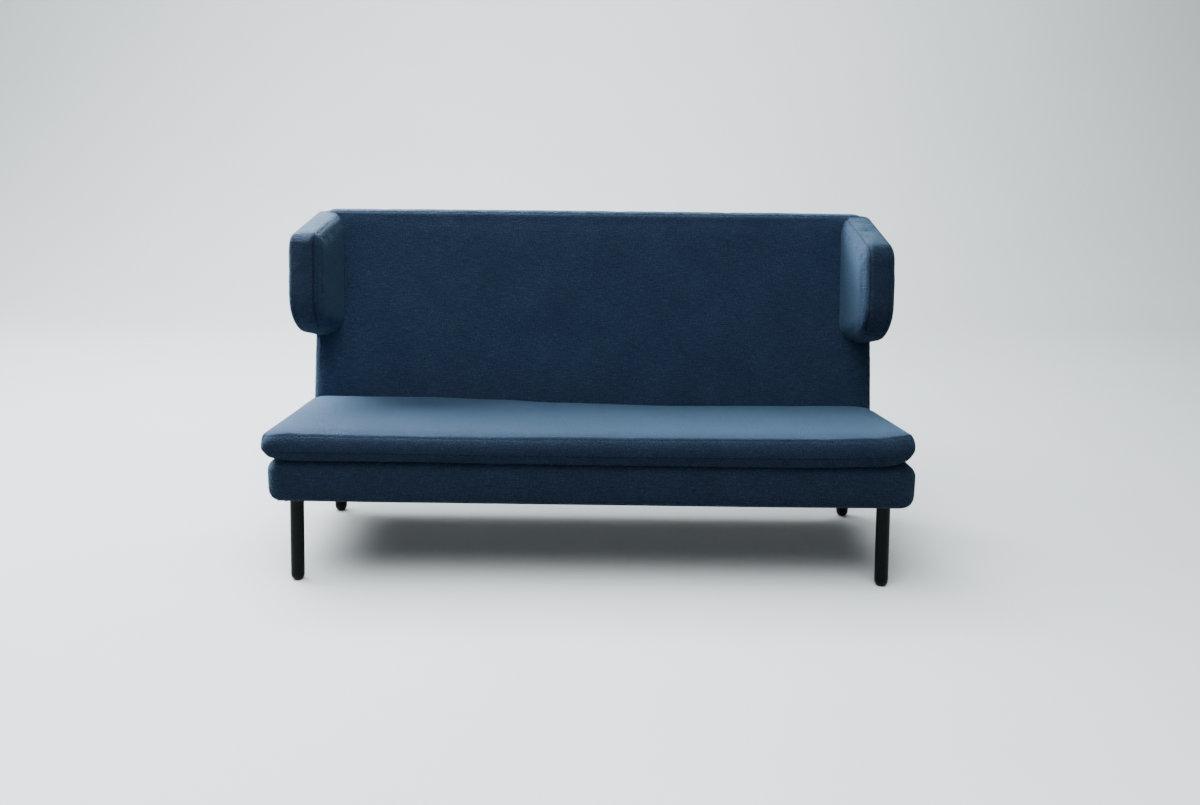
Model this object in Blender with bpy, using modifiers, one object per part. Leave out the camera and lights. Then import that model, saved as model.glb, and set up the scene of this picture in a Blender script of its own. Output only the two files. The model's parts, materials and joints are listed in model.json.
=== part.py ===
"""Lounge sofa with a high winged back, in metres, +Z up, front towards -Y.

A sprung timber base stands on four splayed steel legs. A padded back with two
wings is bolted to it with steel brackets, and a loose zipped cushion lies on
it. The base and everything on it lean back by the seat's slope.
"""

from math import atan, cos, pi, radians, sin, sqrt, tan

import bmesh
import bpy
from mathutils import Vector

# Driving sizes of the base
BASE_WIDTH = 1.850
BASE_DEPTH = 0.714
BASE_HEIGHT = 0.123
UNDERSIDE_HEIGHT = 0.264
SEAT_SLOPE = radians(4.5)
BASE_CORNER = 0.045
BASE_EDGE = 0.024

# Driving sizes of the back and its wings
BACK_WIDTH = BASE_WIDTH - 0.002
BACK_NARROWING = 0.024
BACK_HEIGHT = 0.700
BACK_THICKNESS = 0.092
BACK_OPENING = radians(8.5)
BACK_CORNER = 0.034
PAD_EDGE = 0.020
WING_SPLAY = radians(9.4)
WING_REACH = 0.186
WING_SHOULDER = 0.054
WING_TOP_DROP = 0.116
WING_FLOOR = 0.280
WING_FLOOR_RISE = 0.016
WING_TOP_CORNER = 0.036
WING_LOW_CORNER = 0.115
WING_ROOT_CORNER = 0.030
WING_THICKNESS = 0.088
WING_ROOT_SWELL = 0.24
WING_TUCK = 0.003

# Driving sizes of the seat cushion
CUSHION_WIDTH = BASE_WIDTH + 0.002
CUSHION_OVERHANG = 0.018
CUSHION_SHIFT = -0.006
CUSHION_FRONT_EDGE = 0.088
CUSHION_REAR_EDGE = 0.074
CUSHION_CROWN = 0.020
CUSHION_ROLL = 0.024
CUSHION_DRAW = 0.006
CUSHION_END_LIFT = 0.010
CUSHION_REAR_GAP = 0.006
ZIP_LENGTH = 1.200
ZIP_HEIGHT = 0.014
ZIP_LEVEL = 0.042
ZIP_SLIDER = (0.012, 0.004, 0.010)
ZIP_PULL = (0.006, 0.0016, 0.020)

# Driving sizes of the legs
LEG_DIAMETER = 0.040
LEG_WALL = 0.002
LEG_SPLAY = radians(2.5)
SIDE_FOOT_INSET = 0.061
FRONT_FOOT_INSET = 0.075
REAR_FOOT_INSET = 0.051
GLIDE_HEIGHT = 0.020
GLIDE_PLUG_LENGTH = 0.030
PLATE_SIZE = 0.068
PLATE_THICKNESS = 0.004
PLATE_CORNER = 0.010
PLATE_SCREW_INSET = 0.010
SCREW_HEAD_RADIUS = 0.0055
SCREW_HEAD_HEIGHT = 0.0022

# Cloth, foam and board thicknesses
COVER_FABRIC = 0.0025
DUST_SHEET = 0.0012
DUST_INSET = BASE_EDGE + 0.004
COVER_LIP = DUST_INSET + 0.016
DECK_PAD = 0.017
SPRING_SPACE = 0.011
GAP = 0.0003

# Timber of the base
RAIL_THICKNESS = 0.028
BLOCK_LEG = 0.080
BLOCK_NOSE = 0.022
BLOCK_HEIGHT = 0.060
CROSS_RAIL_HEIGHT = 0.060
CROSS_RAIL_SPACING = 0.620

# Seat springs
SPRING_COUNT = 6
SPRING_WIRE = 0.0038
SPRING_WIDTH = 0.046
SPRING_PITCH = 0.026
SPRING_EDGE_INSET = 0.150
CLIP_SIZE = (0.022, 0.016)
CLIP_SKIN = 0.0012

# Timber and webbing of the back
BACK_TIMBER = 0.022
STILE_WIDTH = 0.060
TOP_RAIL_HEIGHT = 0.060
BOTTOM_RAIL_HEIGHT = 0.070
BACK_FRAME_FRONT = 0.044
FRAME_TOP_INSET = 0.030
FRAME_FOOT_CLEARANCE = 0.006
WEBBING_COUNT = 5
WEBBING_WIDTH = 0.050
WEBBING_THICKNESS = 0.002
WING_BOARD = 0.015
WING_BOARD_DEPTH = 0.030
WING_BOARD_INSET = 0.028

# Steel brackets between back and base
BRACKET_WIDTH = 0.040
BRACKET_STEEL = 0.005
BRACKET_RISE = 0.120
BRACKET_DROP = 0.070
BRACKET_SPACING = 0.560

# Facets
ROUND_SIDES = 32
CORNER_STEPS = 4
EDGE_STEPS = 3
FLOOR_DEPTH = 0.1


def clear_scene():
    for item in list(bpy.data.objects):
        bpy.data.objects.remove(item, do_unlink=True)


def make_collection(name):
    collection = bpy.data.collections.new(name)
    bpy.context.scene.collection.children.link(collection)
    return collection


def make_material(name, colour, roughness, metallic=0.0):
    material = bpy.data.materials.new(name)
    material.use_nodes = True
    shader = material.node_tree.nodes["Principled BSDF"]
    shader.inputs["Base Color"].default_value = (*colour, 1.0)
    shader.inputs["Roughness"].default_value = roughness
    shader.inputs["Metallic"].default_value = metallic
    material.diffuse_color = (*colour, 1.0)
    return material


clear_scene()
SOFA = make_collection("lounge_sofa")
CUTTERS = make_collection("cutters")

FABRIC = make_material("blue_wool_fabric", (0.045, 0.105, 0.200), 0.90)
FOAM = make_material("upholstery_foam", (0.780, 0.720, 0.520), 0.95)
WADDING = make_material("polyester_wadding", (0.820, 0.820, 0.800), 0.95)
BEECH = make_material("beech_timber", (0.560, 0.380, 0.210), 0.55)
PLYWOOD = make_material("birch_plywood", (0.650, 0.500, 0.310), 0.60)
BLACK_STEEL = make_material("black_powder_coat", (0.012, 0.013, 0.014), 0.45, 0.20)
SPRING_STEEL = make_material("spring_steel", (0.300, 0.300, 0.310), 0.35, 1.0)
ZINC_STEEL = make_material("zinc_plated_steel", (0.550, 0.550, 0.540), 0.35, 1.0)
BLACK_PLASTIC = make_material("black_nylon", (0.010, 0.010, 0.011), 0.50)
DUST_CLOTH = make_material("black_dust_cloth", (0.020, 0.020, 0.022), 0.95)
WEBBING = make_material("elastic_webbing", (0.100, 0.090, 0.080), 0.85)
ZIP_TAPE = make_material("navy_zip_tape", (0.020, 0.040, 0.085), 0.80)


def add_frame(name, parent, place, turn=(0.0, 0.0, 0.0)):
    """Empty that carries a group of pieces."""
    empty = bpy.data.objects.new(name, None)
    SOFA.objects.link(empty)
    empty.parent = parent
    empty.location = place
    empty.rotation_euler = turn
    return empty


def add_piece(name, mesh, frame, material, place=(0.0, 0.0, 0.0), turn=(0.0, 0.0, 0.0)):
    piece = bpy.data.objects.new(name, mesh)
    SOFA.objects.link(piece)
    piece.parent = frame
    piece.location = place
    piece.rotation_euler = turn
    mesh.materials.clear()
    mesh.materials.append(material)
    mesh.shade_smooth()
    mesh.set_sharp_from_angle(angle=radians(35.0))
    return piece


def add_cutter(name, mesh, frame, place=(0.0, 0.0, 0.0), turn=(0.0, 0.0, 0.0)):
    cutter = bpy.data.objects.new(name, mesh)
    CUTTERS.objects.link(cutter)
    cutter.parent = frame
    cutter.location = place
    cutter.rotation_euler = turn
    cutter.hide_render = True
    cutter.display_type = "WIRE"
    return cutter


def combine(piece, other, operation="DIFFERENCE"):
    modifier = piece.modifiers.new(other.name, "BOOLEAN")
    modifier.operation = operation
    modifier.solver = "EXACT"
    modifier.object = other


def mesh_from(bm, name):
    bm.normal_update()
    bmesh.ops.recalc_face_normals(bm, faces=bm.faces)
    mesh = bpy.data.meshes.new(name)
    bm.to_mesh(mesh)
    bm.free()
    return mesh


def block_mesh(name, size):
    bm = bmesh.new()
    bmesh.ops.create_cube(bm, size=1.0)
    bmesh.ops.scale(bm, vec=size, verts=bm.verts)
    return mesh_from(bm, name)


def middle(low, high):
    return tuple((a + b) / 2 for a, b in zip(low, high))


def span(low, high):
    return tuple(b - a for a, b in zip(low, high))


def add_block(name, low, high, frame, material):
    """Square-edged piece between two corners of its frame."""
    return add_piece(name, block_mesh(name, span(low, high)), frame, material, middle(low, high))


def add_block_cutter(name, low, high, frame):
    return add_cutter(name, block_mesh(name, span(low, high)), frame, middle(low, high))


def rounded_block_mesh(name, size, corner, edge):
    """Block with upright corners of one radius and soft rims of another."""
    bm = bmesh.new()
    bmesh.ops.create_cube(bm, size=1.0)
    bmesh.ops.scale(bm, vec=size, verts=bm.verts)
    upright = [e for e in bm.edges if abs(e.verts[0].co.z - e.verts[1].co.z) > size[2] / 2]
    bmesh.ops.bevel(
        bm, geom=upright, offset=corner, segments=CORNER_STEPS, profile=0.5,
        affect="EDGES", material=-1,
    )
    rim = [e for e in bm.edges if abs(e.verts[0].co.z - e.verts[1].co.z) < size[2] / 2]
    bmesh.ops.bevel(
        bm, geom=rim, offset=edge, segments=EDGE_STEPS, profile=0.5,
        affect="EDGES", material=-1,
    )
    return mesh_from(bm, name)


def cylinder_mesh(name, radius, length, sides):
    bm = bmesh.new()
    bmesh.ops.create_cone(
        bm, cap_ends=True, segments=sides, radius1=radius, radius2=radius, depth=length,
    )
    return mesh_from(bm, name)


def rounded_outline(corners, inset=0.0):
    """Outline points of a polygon whose corners are (u, v, radius) in turn."""
    points = []
    count = len(corners)
    for index, (u, v, radius) in enumerate(corners):
        corner = Vector((u, v))
        before = (Vector(corners[index - 1][:2]) - corner).normalized()
        after = (Vector(corners[(index + 1) % count][:2]) - corner).normalized()
        half_angle = before.angle(after) / 2
        bisector = (before + after).normalized()
        reach = inset / sin(half_angle)
        small = max(radius - inset, 0.0)
        tip = corner + bisector * reach
        if small == 0.0:
            points.append(tip)
            continue
        centre = tip + bisector * (small / sin(half_angle))
        start = tip + before * (small / tan(half_angle)) - centre
        end = tip + after * (small / tan(half_angle)) - centre
        sweep = start.angle_signed(end)
        for step in range(CORNER_STEPS + 1):
            turn = -sweep * step / CORNER_STEPS
            spin = Vector((start.x * cos(turn) - start.y * sin(turn),
                           start.x * sin(turn) + start.y * cos(turn)))
            points.append(centre + spin)
    return points


def curve_to_bmesh(item):
    """Closed bmesh of a curve object, which is removed."""
    graph = bpy.context.evaluated_depsgraph_get()
    mesh = bpy.data.meshes.new_from_object(item.evaluated_get(graph))
    bm = bmesh.new()
    bm.from_mesh(mesh)
    bmesh.ops.remove_doubles(bm, verts=bm.verts, dist=0.00002)
    curve = item.data
    bpy.data.objects.remove(item, do_unlink=True)
    bpy.data.curves.remove(curve)
    bpy.data.meshes.remove(mesh)
    return bm


def panel_bmesh(name, outline, thickness, edge=0.0, inset=0.0):
    """Flat panel in its XY plane with rounded rims, shrunk on all sides by the inset."""
    curve = bpy.data.curves.new(name, "CURVE")
    curve.dimensions = "2D"
    curve.fill_mode = "BOTH"
    curve.extrude = thickness / 2 - (edge if edge else inset)
    if edge:
        curve.bevel_depth = edge - inset
        curve.bevel_resolution = EDGE_STEPS - 1
        curve.offset = -edge
    spline = curve.splines.new("POLY")
    spline.points.add(len(outline) - 1)
    for point, place in zip(spline.points, outline):
        point.co = (place[0], place[1], 0.0, 1.0)
    spline.use_cyclic_u = True
    item = bpy.data.objects.new(name, curve)
    SOFA.objects.link(item)
    return curve_to_bmesh(item)


def turned_piece(name, profile, frame, material, place=(0.0, 0.0, 0.0), closed=False):
    """Profile of (radius, height) points turned about the frame's own Z axis."""
    bm = bmesh.new()
    points = [bm.verts.new((radius, 0.0, height)) for radius, height in profile]
    for first, second in zip(points, points[1:]):
        bm.edges.new((first, second))
    if closed:
        bm.edges.new((points[-1], points[0]))
    mesh = bpy.data.meshes.new(name)
    bm.to_mesh(mesh)
    bm.free()
    piece = add_piece(name, mesh, frame, material, place)
    screw = piece.modifiers.new("turn", "SCREW")
    screw.steps = ROUND_SIDES
    screw.render_steps = ROUND_SIDES
    screw.use_merge_vertices = True
    screw.merge_threshold = 0.00005
    screw.use_smooth_shade = True
    return piece


# Levels of the base, measured square to its underside
COVER_FLOOR = DUST_SHEET + GAP
RAIL_FLOOR = COVER_FLOOR + COVER_FABRIC + GAP
FOAM_INSET = COVER_FABRIC + GAP
PAD_TOP = BASE_HEIGHT - FOAM_INSET
PAD_FLOOR = PAD_TOP - DECK_PAD
RAIL_TOP = PAD_FLOOR - SPRING_SPACE
RAIL_INSET = BASE_CORNER - (BASE_CORNER - BASE_EDGE) / sqrt(2) + 2 * GAP
REAR_RAIL_FRONT = BASE_DEPTH - RAIL_INSET - RAIL_THICKNESS
BRACKET_FRONT = REAR_RAIL_FRONT - GAP - BRACKET_STEEL

# The back stands where the brackets on the rear rail hold its frame
FRAME_REAR = BACK_FRAME_FRONT + BACK_TIMBER
BACK_STAND = BRACKET_FRONT - (FRAME_REAR + GAP) / cos(BACK_OPENING)
FRAME_FOOT = BACK_THICKNESS * tan(BACK_OPENING) + FRAME_FOOT_CLEARANCE

# Places that the back's pieces share, in the back's own frame
HALF_BACK = BACK_WIDTH / 2
HALF_BACK_TOP = (BACK_WIDTH - BACK_NARROWING) / 2
BACK_TAPER = atan((HALF_BACK - HALF_BACK_TOP) / BACK_HEIGHT)
WING_ORIGIN_X = HALF_BACK - WING_TUCK
WING_ORIGIN_Y = BACK_THICKNESS - WING_TUCK
WING_LENGTH = (WING_ORIGIN_Y + WING_REACH) / cos(WING_SPLAY)
BOARD_START = (WING_ORIGIN_Y - FRAME_REAR - GAP) / cos(WING_SPLAY)
BOARD_INNER = WING_BOARD_DEPTH + WING_BOARD
STILE_OUTER = (
    HALF_BACK_TOP - WING_TUCK + BOARD_START * sin(WING_SPLAY) - BOARD_INNER * cos(WING_SPLAY) - GAP
)
FRAME_TOP = BACK_HEIGHT - FRAME_TOP_INSET
POCKET_FRONT = BACK_FRAME_FRONT - WEBBING_THICKNESS - 2 * GAP

SOFA_FRAME = add_frame("sofa_origin", None, (0.0, 0.0, 0.0))
SEAT_FRAME = add_frame(
    "seat_slope", SOFA_FRAME, (0.0, 0.0, UNDERSIDE_HEIGHT), (-SEAT_SLOPE, 0.0, 0.0),
)
BACK_FRAME = add_frame(
    "back_recline", SEAT_FRAME, (0.0, BACK_STAND, BASE_HEIGHT), (-BACK_OPENING, 0.0, 0.0),
)
CUSHION_FRAME = add_frame(
    "cushion_seat", SEAT_FRAME, (CUSHION_SHIFT, -CUSHION_OVERHANG, BASE_HEIGHT + GAP),
)
SIDES = {"left": -1, "right": 1}
WING_FRAMES = {
    name: add_frame(
        f"{name}_wing_splay", BACK_FRAME, (side * WING_ORIGIN_X, WING_ORIGIN_Y, 0.0),
        (0.0, -side * BACK_TAPER, side * WING_SPLAY),
    )
    for name, side in SIDES.items()
}


def base_block(name, inset):
    """Outer form of the base, or the same form drawn in on every side."""
    size = (BASE_WIDTH - 2 * inset, BASE_DEPTH - 2 * inset, BASE_HEIGHT - COVER_FLOOR - 2 * inset)
    return rounded_block_mesh(name, size, BASE_CORNER - inset, BASE_EDGE - inset)


def make_base_upholstery():
    centre = (0.0, BASE_DEPTH / 2, (BASE_HEIGHT + COVER_FLOOR) / 2)
    half = BASE_WIDTH / 2

    cover = add_piece("base_cover", base_block("base_cover", 0.0), SEAT_FRAME, FABRIC, centre)
    lining = add_cutter("base_cover_lining", base_block("lining", COVER_FABRIC), SEAT_FRAME, centre)
    combine(cover, lining)
    opening = add_block_cutter(
        "base_cover_opening",
        (-half + COVER_LIP, COVER_LIP, -FLOOR_DEPTH),
        (half - COVER_LIP, BASE_DEPTH - COVER_LIP, RAIL_FLOOR),
        SEAT_FRAME,
    )
    combine(cover, opening)

    foam = add_piece("base_foam", base_block("base_foam", FOAM_INSET), SEAT_FRAME, FOAM, centre)
    pocket_inset = RAIL_INSET - GAP
    pocket = add_block_cutter(
        "base_foam_pocket",
        (-half + pocket_inset, pocket_inset, -FLOOR_DEPTH),
        (half - pocket_inset, BASE_DEPTH - pocket_inset, PAD_FLOOR),
        SEAT_FRAME,
    )
    combine(foam, pocket)

    add_block(
        "base_dust_cover",
        (-half + DUST_INSET, DUST_INSET, 0.0),
        (half - DUST_INSET, BASE_DEPTH - DUST_INSET, DUST_SHEET),
        SEAT_FRAME, DUST_CLOTH,
    )
    return cover, foam


def make_base_timber():
    outer = BASE_WIDTH / 2 - RAIL_INSET
    inner = outer - RAIL_THICKNESS
    front = RAIL_INSET
    rear = BASE_DEPTH - RAIL_INSET
    low, high = RAIL_FLOOR, RAIL_TOP
    add_block("front_rail", (-outer, front, low), (outer, front + RAIL_THICKNESS, high),
              SEAT_FRAME, BEECH)
    add_block("rear_rail", (-outer, rear - RAIL_THICKNESS, low), (outer, rear, high),
              SEAT_FRAME, BEECH)
    for name, side in SIDES.items():
        edges = sorted((side * inner, side * outer))
        add_block(
            f"{name}_side_rail",
            (edges[0], front + RAIL_THICKNESS + GAP, low),
            (edges[1], rear - RAIL_THICKNESS - GAP, high),
            SEAT_FRAME, BEECH,
        )
        centre = side * CROSS_RAIL_SPACING / 2
        add_block(
            f"{name}_cross_rail",
            (centre - RAIL_THICKNESS / 2, front + RAIL_THICKNESS + GAP, low),
            (centre + RAIL_THICKNESS / 2, REAR_RAIL_FRONT - GAP, low + CROSS_RAIL_HEIGHT),
            SEAT_FRAME, BEECH,
        )
    front_corner = front + RAIL_THICKNESS + GAP
    rear_corner = REAR_RAIL_FRONT - GAP
    corners = [(0.0, 0.0, 0.0), (BLOCK_LEG, 0.0, 0.0), (BLOCK_LEG, BLOCK_NOSE, 0.0),
               (BLOCK_NOSE, BLOCK_LEG, 0.0), (0.0, BLOCK_LEG, 0.0)]
    for name, side in SIDES.items():
        for end, corner_y, way in (("front", front_corner, 1), ("rear", rear_corner, -1)):
            bm = panel_bmesh("corner_block", rounded_outline(corners), BLOCK_HEIGHT)
            bmesh.ops.scale(bm, vec=(-side, way, 1.0), verts=bm.verts)
            add_piece(
                f"{name}_{end}_corner_block", mesh_from(bm, "corner_block"), SEAT_FRAME, BEECH,
                (side * (inner - GAP), corner_y, low + BLOCK_HEIGHT / 2),
            )


def spring_path():
    """Zigzag wire from the front rail to the rear rail, arched over its length."""
    start = RAIL_INSET + RAIL_THICKNESS / 2
    end = REAR_RAIL_FRONT + RAIL_THICKNESS / 2
    bars = round((end - start) / SPRING_PITCH)
    pitch = (end - start) / bars
    half_bar = SPRING_WIDTH / 2 - pitch / 2
    clip_level = RAIL_TOP + GAP + CLIP_SKIN + SPRING_WIRE / 2
    crown_level = PAD_FLOOR - GAP - SPRING_WIRE / 2
    points = []
    for bar in range(bars + 1):
        side = 1 if bar % 2 else -1
        for offset, forward in ((-side * half_bar, 0.0), (side * half_bar, 0.0),
                                (side * SPRING_WIDTH / 2, 0.5)):
            share = min((bar + forward) / bars, 1.0)
            if bar == bars and forward:
                continue
            level = clip_level + (crown_level - clip_level) * sin(pi * share)
            points.append(Vector((offset, start + pitch * (bar + forward), level)))
    return points, clip_level


def wire_mesh(name, points, diameter, resolution):
    curve = bpy.data.curves.new(name, "CURVE")
    curve.dimensions = "3D"
    curve.bevel_depth = diameter / 2
    curve.bevel_resolution = resolution
    curve.use_fill_caps = True
    spline = curve.splines.new("POLY")
    spline.points.add(len(points) - 1)
    for point, place in zip(spline.points, points):
        point.co = (*place, 1.0)
    item = bpy.data.objects.new(name, curve)
    SOFA.objects.link(item)
    return mesh_from(curve_to_bmesh(item), name)


def make_seat_springs():
    points, level = spring_path()
    wire = wire_mesh("seat_spring", points, SPRING_WIRE, 0)
    reach = BASE_WIDTH / 2 - SPRING_EDGE_INSET
    clip_height = SPRING_WIRE + 2 * CLIP_SKIN
    for number in range(SPRING_COUNT):
        x = -reach + 2 * reach * number / (SPRING_COUNT - 1)
        name = f"seat_spring_{number + 1}"
        spring = add_piece(name, wire.copy(), SEAT_FRAME, SPRING_STEEL, (x, 0.0, 0.0))
        for end, place in (("front", points[0]), ("rear", points[-1])):
            size = (CLIP_SIZE[0], CLIP_SIZE[1], clip_height)
            clip = add_cutter(f"{name}_{end}_clip", block_mesh("clip", size), SEAT_FRAME,
                              (x, place.y, level))
            combine(spring, clip, "UNION")


def leg_places():
    """Each leg's name, side and its foot's place on the floor."""
    for end, y in (("front", FRONT_FOOT_INSET), ("rear", BASE_DEPTH - REAR_FOOT_INSET)):
        for name, side in SIDES.items():
            yield f"{name}_{end}", side, (side * (BASE_WIDTH / 2 - SIDE_FOOT_INSET), y, 0.0)


def make_legs():
    plate_floor = -GAP - PLATE_THICKNESS
    top_plane = add_block_cutter(
        "leg_top_plane", (-BASE_WIDTH, -BASE_DEPTH, plate_floor - GAP),
        (BASE_WIDTH, 2 * BASE_DEPTH, BASE_HEIGHT), SEAT_FRAME,
    )
    ground = add_block_cutter(
        "ground", (-BASE_WIDTH, -BASE_DEPTH, -FLOOR_DEPTH), (BASE_WIDTH, 2 * BASE_DEPTH, 0.0),
        SOFA_FRAME,
    )
    radius = LEG_DIAMETER / 2
    bore = radius - LEG_WALL
    dome = [(radius * sin(pi / 2 * step / 5) ** 0.7, GLIDE_HEIGHT * (1 - cos(pi / 2 * step / 5)))
            for step in range(6)]
    dome_floor = -0.0009
    glide_profile = (
        [(0.0, GLIDE_HEIGHT + GLIDE_PLUG_LENGTH), (bore - 0.002, GLIDE_HEIGHT + GLIDE_PLUG_LENGTH),
         (bore - GAP, GLIDE_HEIGHT + GLIDE_PLUG_LENGTH - 0.004), (bore - GAP, GLIDE_HEIGHT)]
        + [(r, z) for r, z in reversed(dome[1:])] + [(0.0, 0.0)]
    )
    for name, side, foot in leg_places():
        frame = add_frame(f"{name}_leg_splay", SOFA_FRAME, foot, (0.0, -side * LEG_SPLAY, 0.0))
        height = UNDERSIDE_HEIGHT + LEG_DIAMETER
        start = GLIDE_HEIGHT + GAP
        tube = [(radius, height), (radius, start), (bore, start), (bore, height)]
        leg = turned_piece(f"{name}_leg_tube", tube, frame, BLACK_STEEL, closed=True)
        combine(leg, top_plane)
        glide = turned_piece(f"{name}_leg_glide", glide_profile, frame, BLACK_PLASTIC,
                             (0.0, 0.0, dome_floor))
        combine(glide, ground)

        rise = UNDERSIDE_HEIGHT - foot[1] * tan(SEAT_SLOPE)
        x = foot[0] - side * rise * tan(LEG_SPLAY)
        y = foot[1] / cos(SEAT_SLOPE)
        size = (PLATE_SIZE, PLATE_SIZE, PLATE_THICKNESS)
        mesh = rounded_block_mesh("leg_plate", size, PLATE_CORNER, PLATE_THICKNESS / 5)
        plate = add_piece(f"{name}_leg_plate", mesh, SEAT_FRAME, BLACK_STEEL,
                          (x, y, plate_floor + PLATE_THICKNESS / 2))
        reach = PLATE_SIZE / 2 - PLATE_SCREW_INSET
        for number, (across, along) in enumerate(((-1, -1), (1, -1), (1, 1), (-1, 1))):
            height = SCREW_HEAD_HEIGHT + PLATE_THICKNESS / 2
            head = add_cutter(
                f"{name}_screw_head_{number + 1}",
                cylinder_mesh("screw_head", SCREW_HEAD_RADIUS, height, 10), SEAT_FRAME,
                (x + across * reach, y + along * reach,
                 plate_floor - SCREW_HEAD_HEIGHT + height / 2),
            )
            combine(plate, head, "UNION")


def grid_block_bmesh(u_lines, v_lines, w_lines):
    """Hollow grid on a block's six faces, its lines at the given places."""
    bm = bmesh.new()
    bmesh.ops.create_cube(bm, size=2.0)
    for axis, lines in enumerate((u_lines, v_lines, w_lines)):
        along = [e for e in bm.edges
                 if abs(e.verts[0].co[axis] - e.verts[1].co[axis]) > 1.0
                 and all(abs(e.verts[0].co[k] - e.verts[1].co[k]) < 0.001
                         for k in range(3) if k != axis)]
        bmesh.ops.subdivide_edges(bm, edges=along, cuts=len(lines) - 2, use_grid_fill=True)
    for vert in bm.verts:
        for axis, lines in enumerate((u_lines, v_lines, w_lines)):
            index = round((vert.co[axis] + 1) / 2 * (len(lines) - 1))
            vert.co[axis] = lines[index]
    return bm


def cushion_cage():
    """Coarse cage of the seat cushion, in its own frame."""
    bm = grid_block_bmesh((-1, -0.955, -0.70, -0.35, 0, 0.35, 0.70, 0.955, 1),
                          (-1, -0.86, -0.30, 0.30, 0.86, 1), (-1, 0, 1))
    depth = BACK_STAND + CUSHION_OVERHANG - CUSHION_REAR_GAP
    for vert in bm.verts:
        u, v, w = vert.co
        edge_height = CUSHION_FRONT_EDGE + (CUSHION_REAR_EDGE - CUSHION_FRONT_EDGE) * (v + 1) / 2
        x = u * CUSHION_WIDTH / 2
        y = (v + 1) / 2 * depth
        crown = CUSHION_CROWN * (1 - u ** 4) * (1 - v ** 4)
        z = edge_height * (w + 1) / 2
        if w > 0:
            z += crown
        on_side = abs(u) == 1
        on_front = v == -1
        roll = CUSHION_ROLL if w < 0 else (0.3 * CUSHION_ROLL if w > 0 else 0.0)
        if on_side:
            x -= u * (roll + CUSHION_DRAW * (1 - v * v))
            if w < 0:
                z += CUSHION_END_LIFT
        if on_front:
            y += roll + CUSHION_DRAW / 2 * (1 - u * u)
        if v == 1:
            y += z * tan(BACK_OPENING)
        vert.co = (x, y, z)
    return mesh_from(bm, "cushion_cage")


def add_soft_modifiers(piece, inset):
    smooth = piece.modifiers.new("smooth", "SUBSURF")
    smooth.levels = 1
    smooth.render_levels = 1
    if inset:
        shrink = piece.modifiers.new("shrink", "DISPLACE")
        shrink.strength = -inset
        shrink.mid_level = 0.0


def make_seat_cushion():
    cage = cushion_cage()
    cover = add_piece("cushion_cover", cage, CUSHION_FRAME, FABRIC)
    add_soft_modifiers(cover, 0.0)
    shell = cover.modifiers.new("fabric", "SOLIDIFY")
    shell.thickness = COVER_FABRIC
    shell.offset = -1.0
    core = add_piece("cushion_core", cage.copy(), CUSHION_FRAME, FOAM)
    add_soft_modifiers(core, COVER_FABRIC + GAP)

    wall_y = BACK_STAND + CUSHION_OVERHANG - CUSHION_REAR_GAP + ZIP_LEVEL * tan(BACK_OPENING)
    zip_frame = add_frame("cushion_zip", CUSHION_FRAME, (0.0, wall_y, ZIP_LEVEL),
                          (-BACK_OPENING, 0.0, 0.0))
    half = ZIP_LENGTH / 2
    slot = add_block_cutter(
        "zip_slot", (-half, -COVER_FABRIC - GAP / 2, -ZIP_HEIGHT / 2),
        (half, COVER_FABRIC, ZIP_HEIGHT / 2), zip_frame,
    )
    combine(cover, slot)
    tape_rear = -COVER_FABRIC / 2
    add_block(
        "zip_tape", (-half + GAP, -COVER_FABRIC, -ZIP_HEIGHT / 2 + GAP),
        (half - GAP, tape_rear, ZIP_HEIGHT / 2 - GAP), zip_frame, ZIP_TAPE,
    )
    slider_frame = add_frame(
        "zip_slider_track", zip_frame, (-half + ZIP_SLIDER[0], tape_rear + GAP, 0.0),
    )
    slider = add_piece(
        "zip_slider",
        rounded_block_mesh("zip_slider", ZIP_SLIDER, ZIP_SLIDER[1] / 4, ZIP_SLIDER[1] / 5),
        slider_frame, ZINC_STEEL, (0.0, ZIP_SLIDER[1] / 2, 0.0),
    )
    pull = add_block_cutter(
        "zip_pull", (-ZIP_PULL[0] / 2, ZIP_SLIDER[1] - ZIP_PULL[1], -ZIP_PULL[2]),
        (ZIP_PULL[0] / 2, ZIP_SLIDER[1] + ZIP_PULL[1] / 4, 0.0), slider_frame,
    )
    combine(slider, pull, "UNION")


def wing_corners():
    """Wing outline as (forward, up, radius), in the wing's own frame."""
    top = BACK_HEIGHT - WING_TUCK
    return [
        (0.0, WING_FLOOR, WING_ROOT_CORNER),
        (WING_LENGTH, WING_FLOOR + WING_FLOOR_RISE, WING_LOW_CORNER),
        (WING_LENGTH, top - WING_TOP_DROP, WING_TOP_CORNER),
        (WING_SHOULDER, top, WING_TOP_CORNER), (0.0, top, WING_ROOT_CORNER),
    ]


def wing_mesh(name, side, inset):
    bm = panel_bmesh(name, rounded_outline(wing_corners()), WING_THICKNESS, PAD_EDGE, inset)
    for vert in bm.verts:
        vert.co.z += WING_THICKNESS / 2
    # Twisted quads are split alike in every copy, so nested forms keep their gap
    for vert in bm.verts:
        forward, up, across = vert.co
        swell = 1.0 + WING_ROOT_SWELL * (1.0 - forward / WING_LENGTH)
        vert.co = (-side * across * swell, -forward, up)
    bmesh.ops.triangulate(bm, faces=bm.faces, quad_method="FIXED")
    return mesh_from(bm, name)


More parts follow.
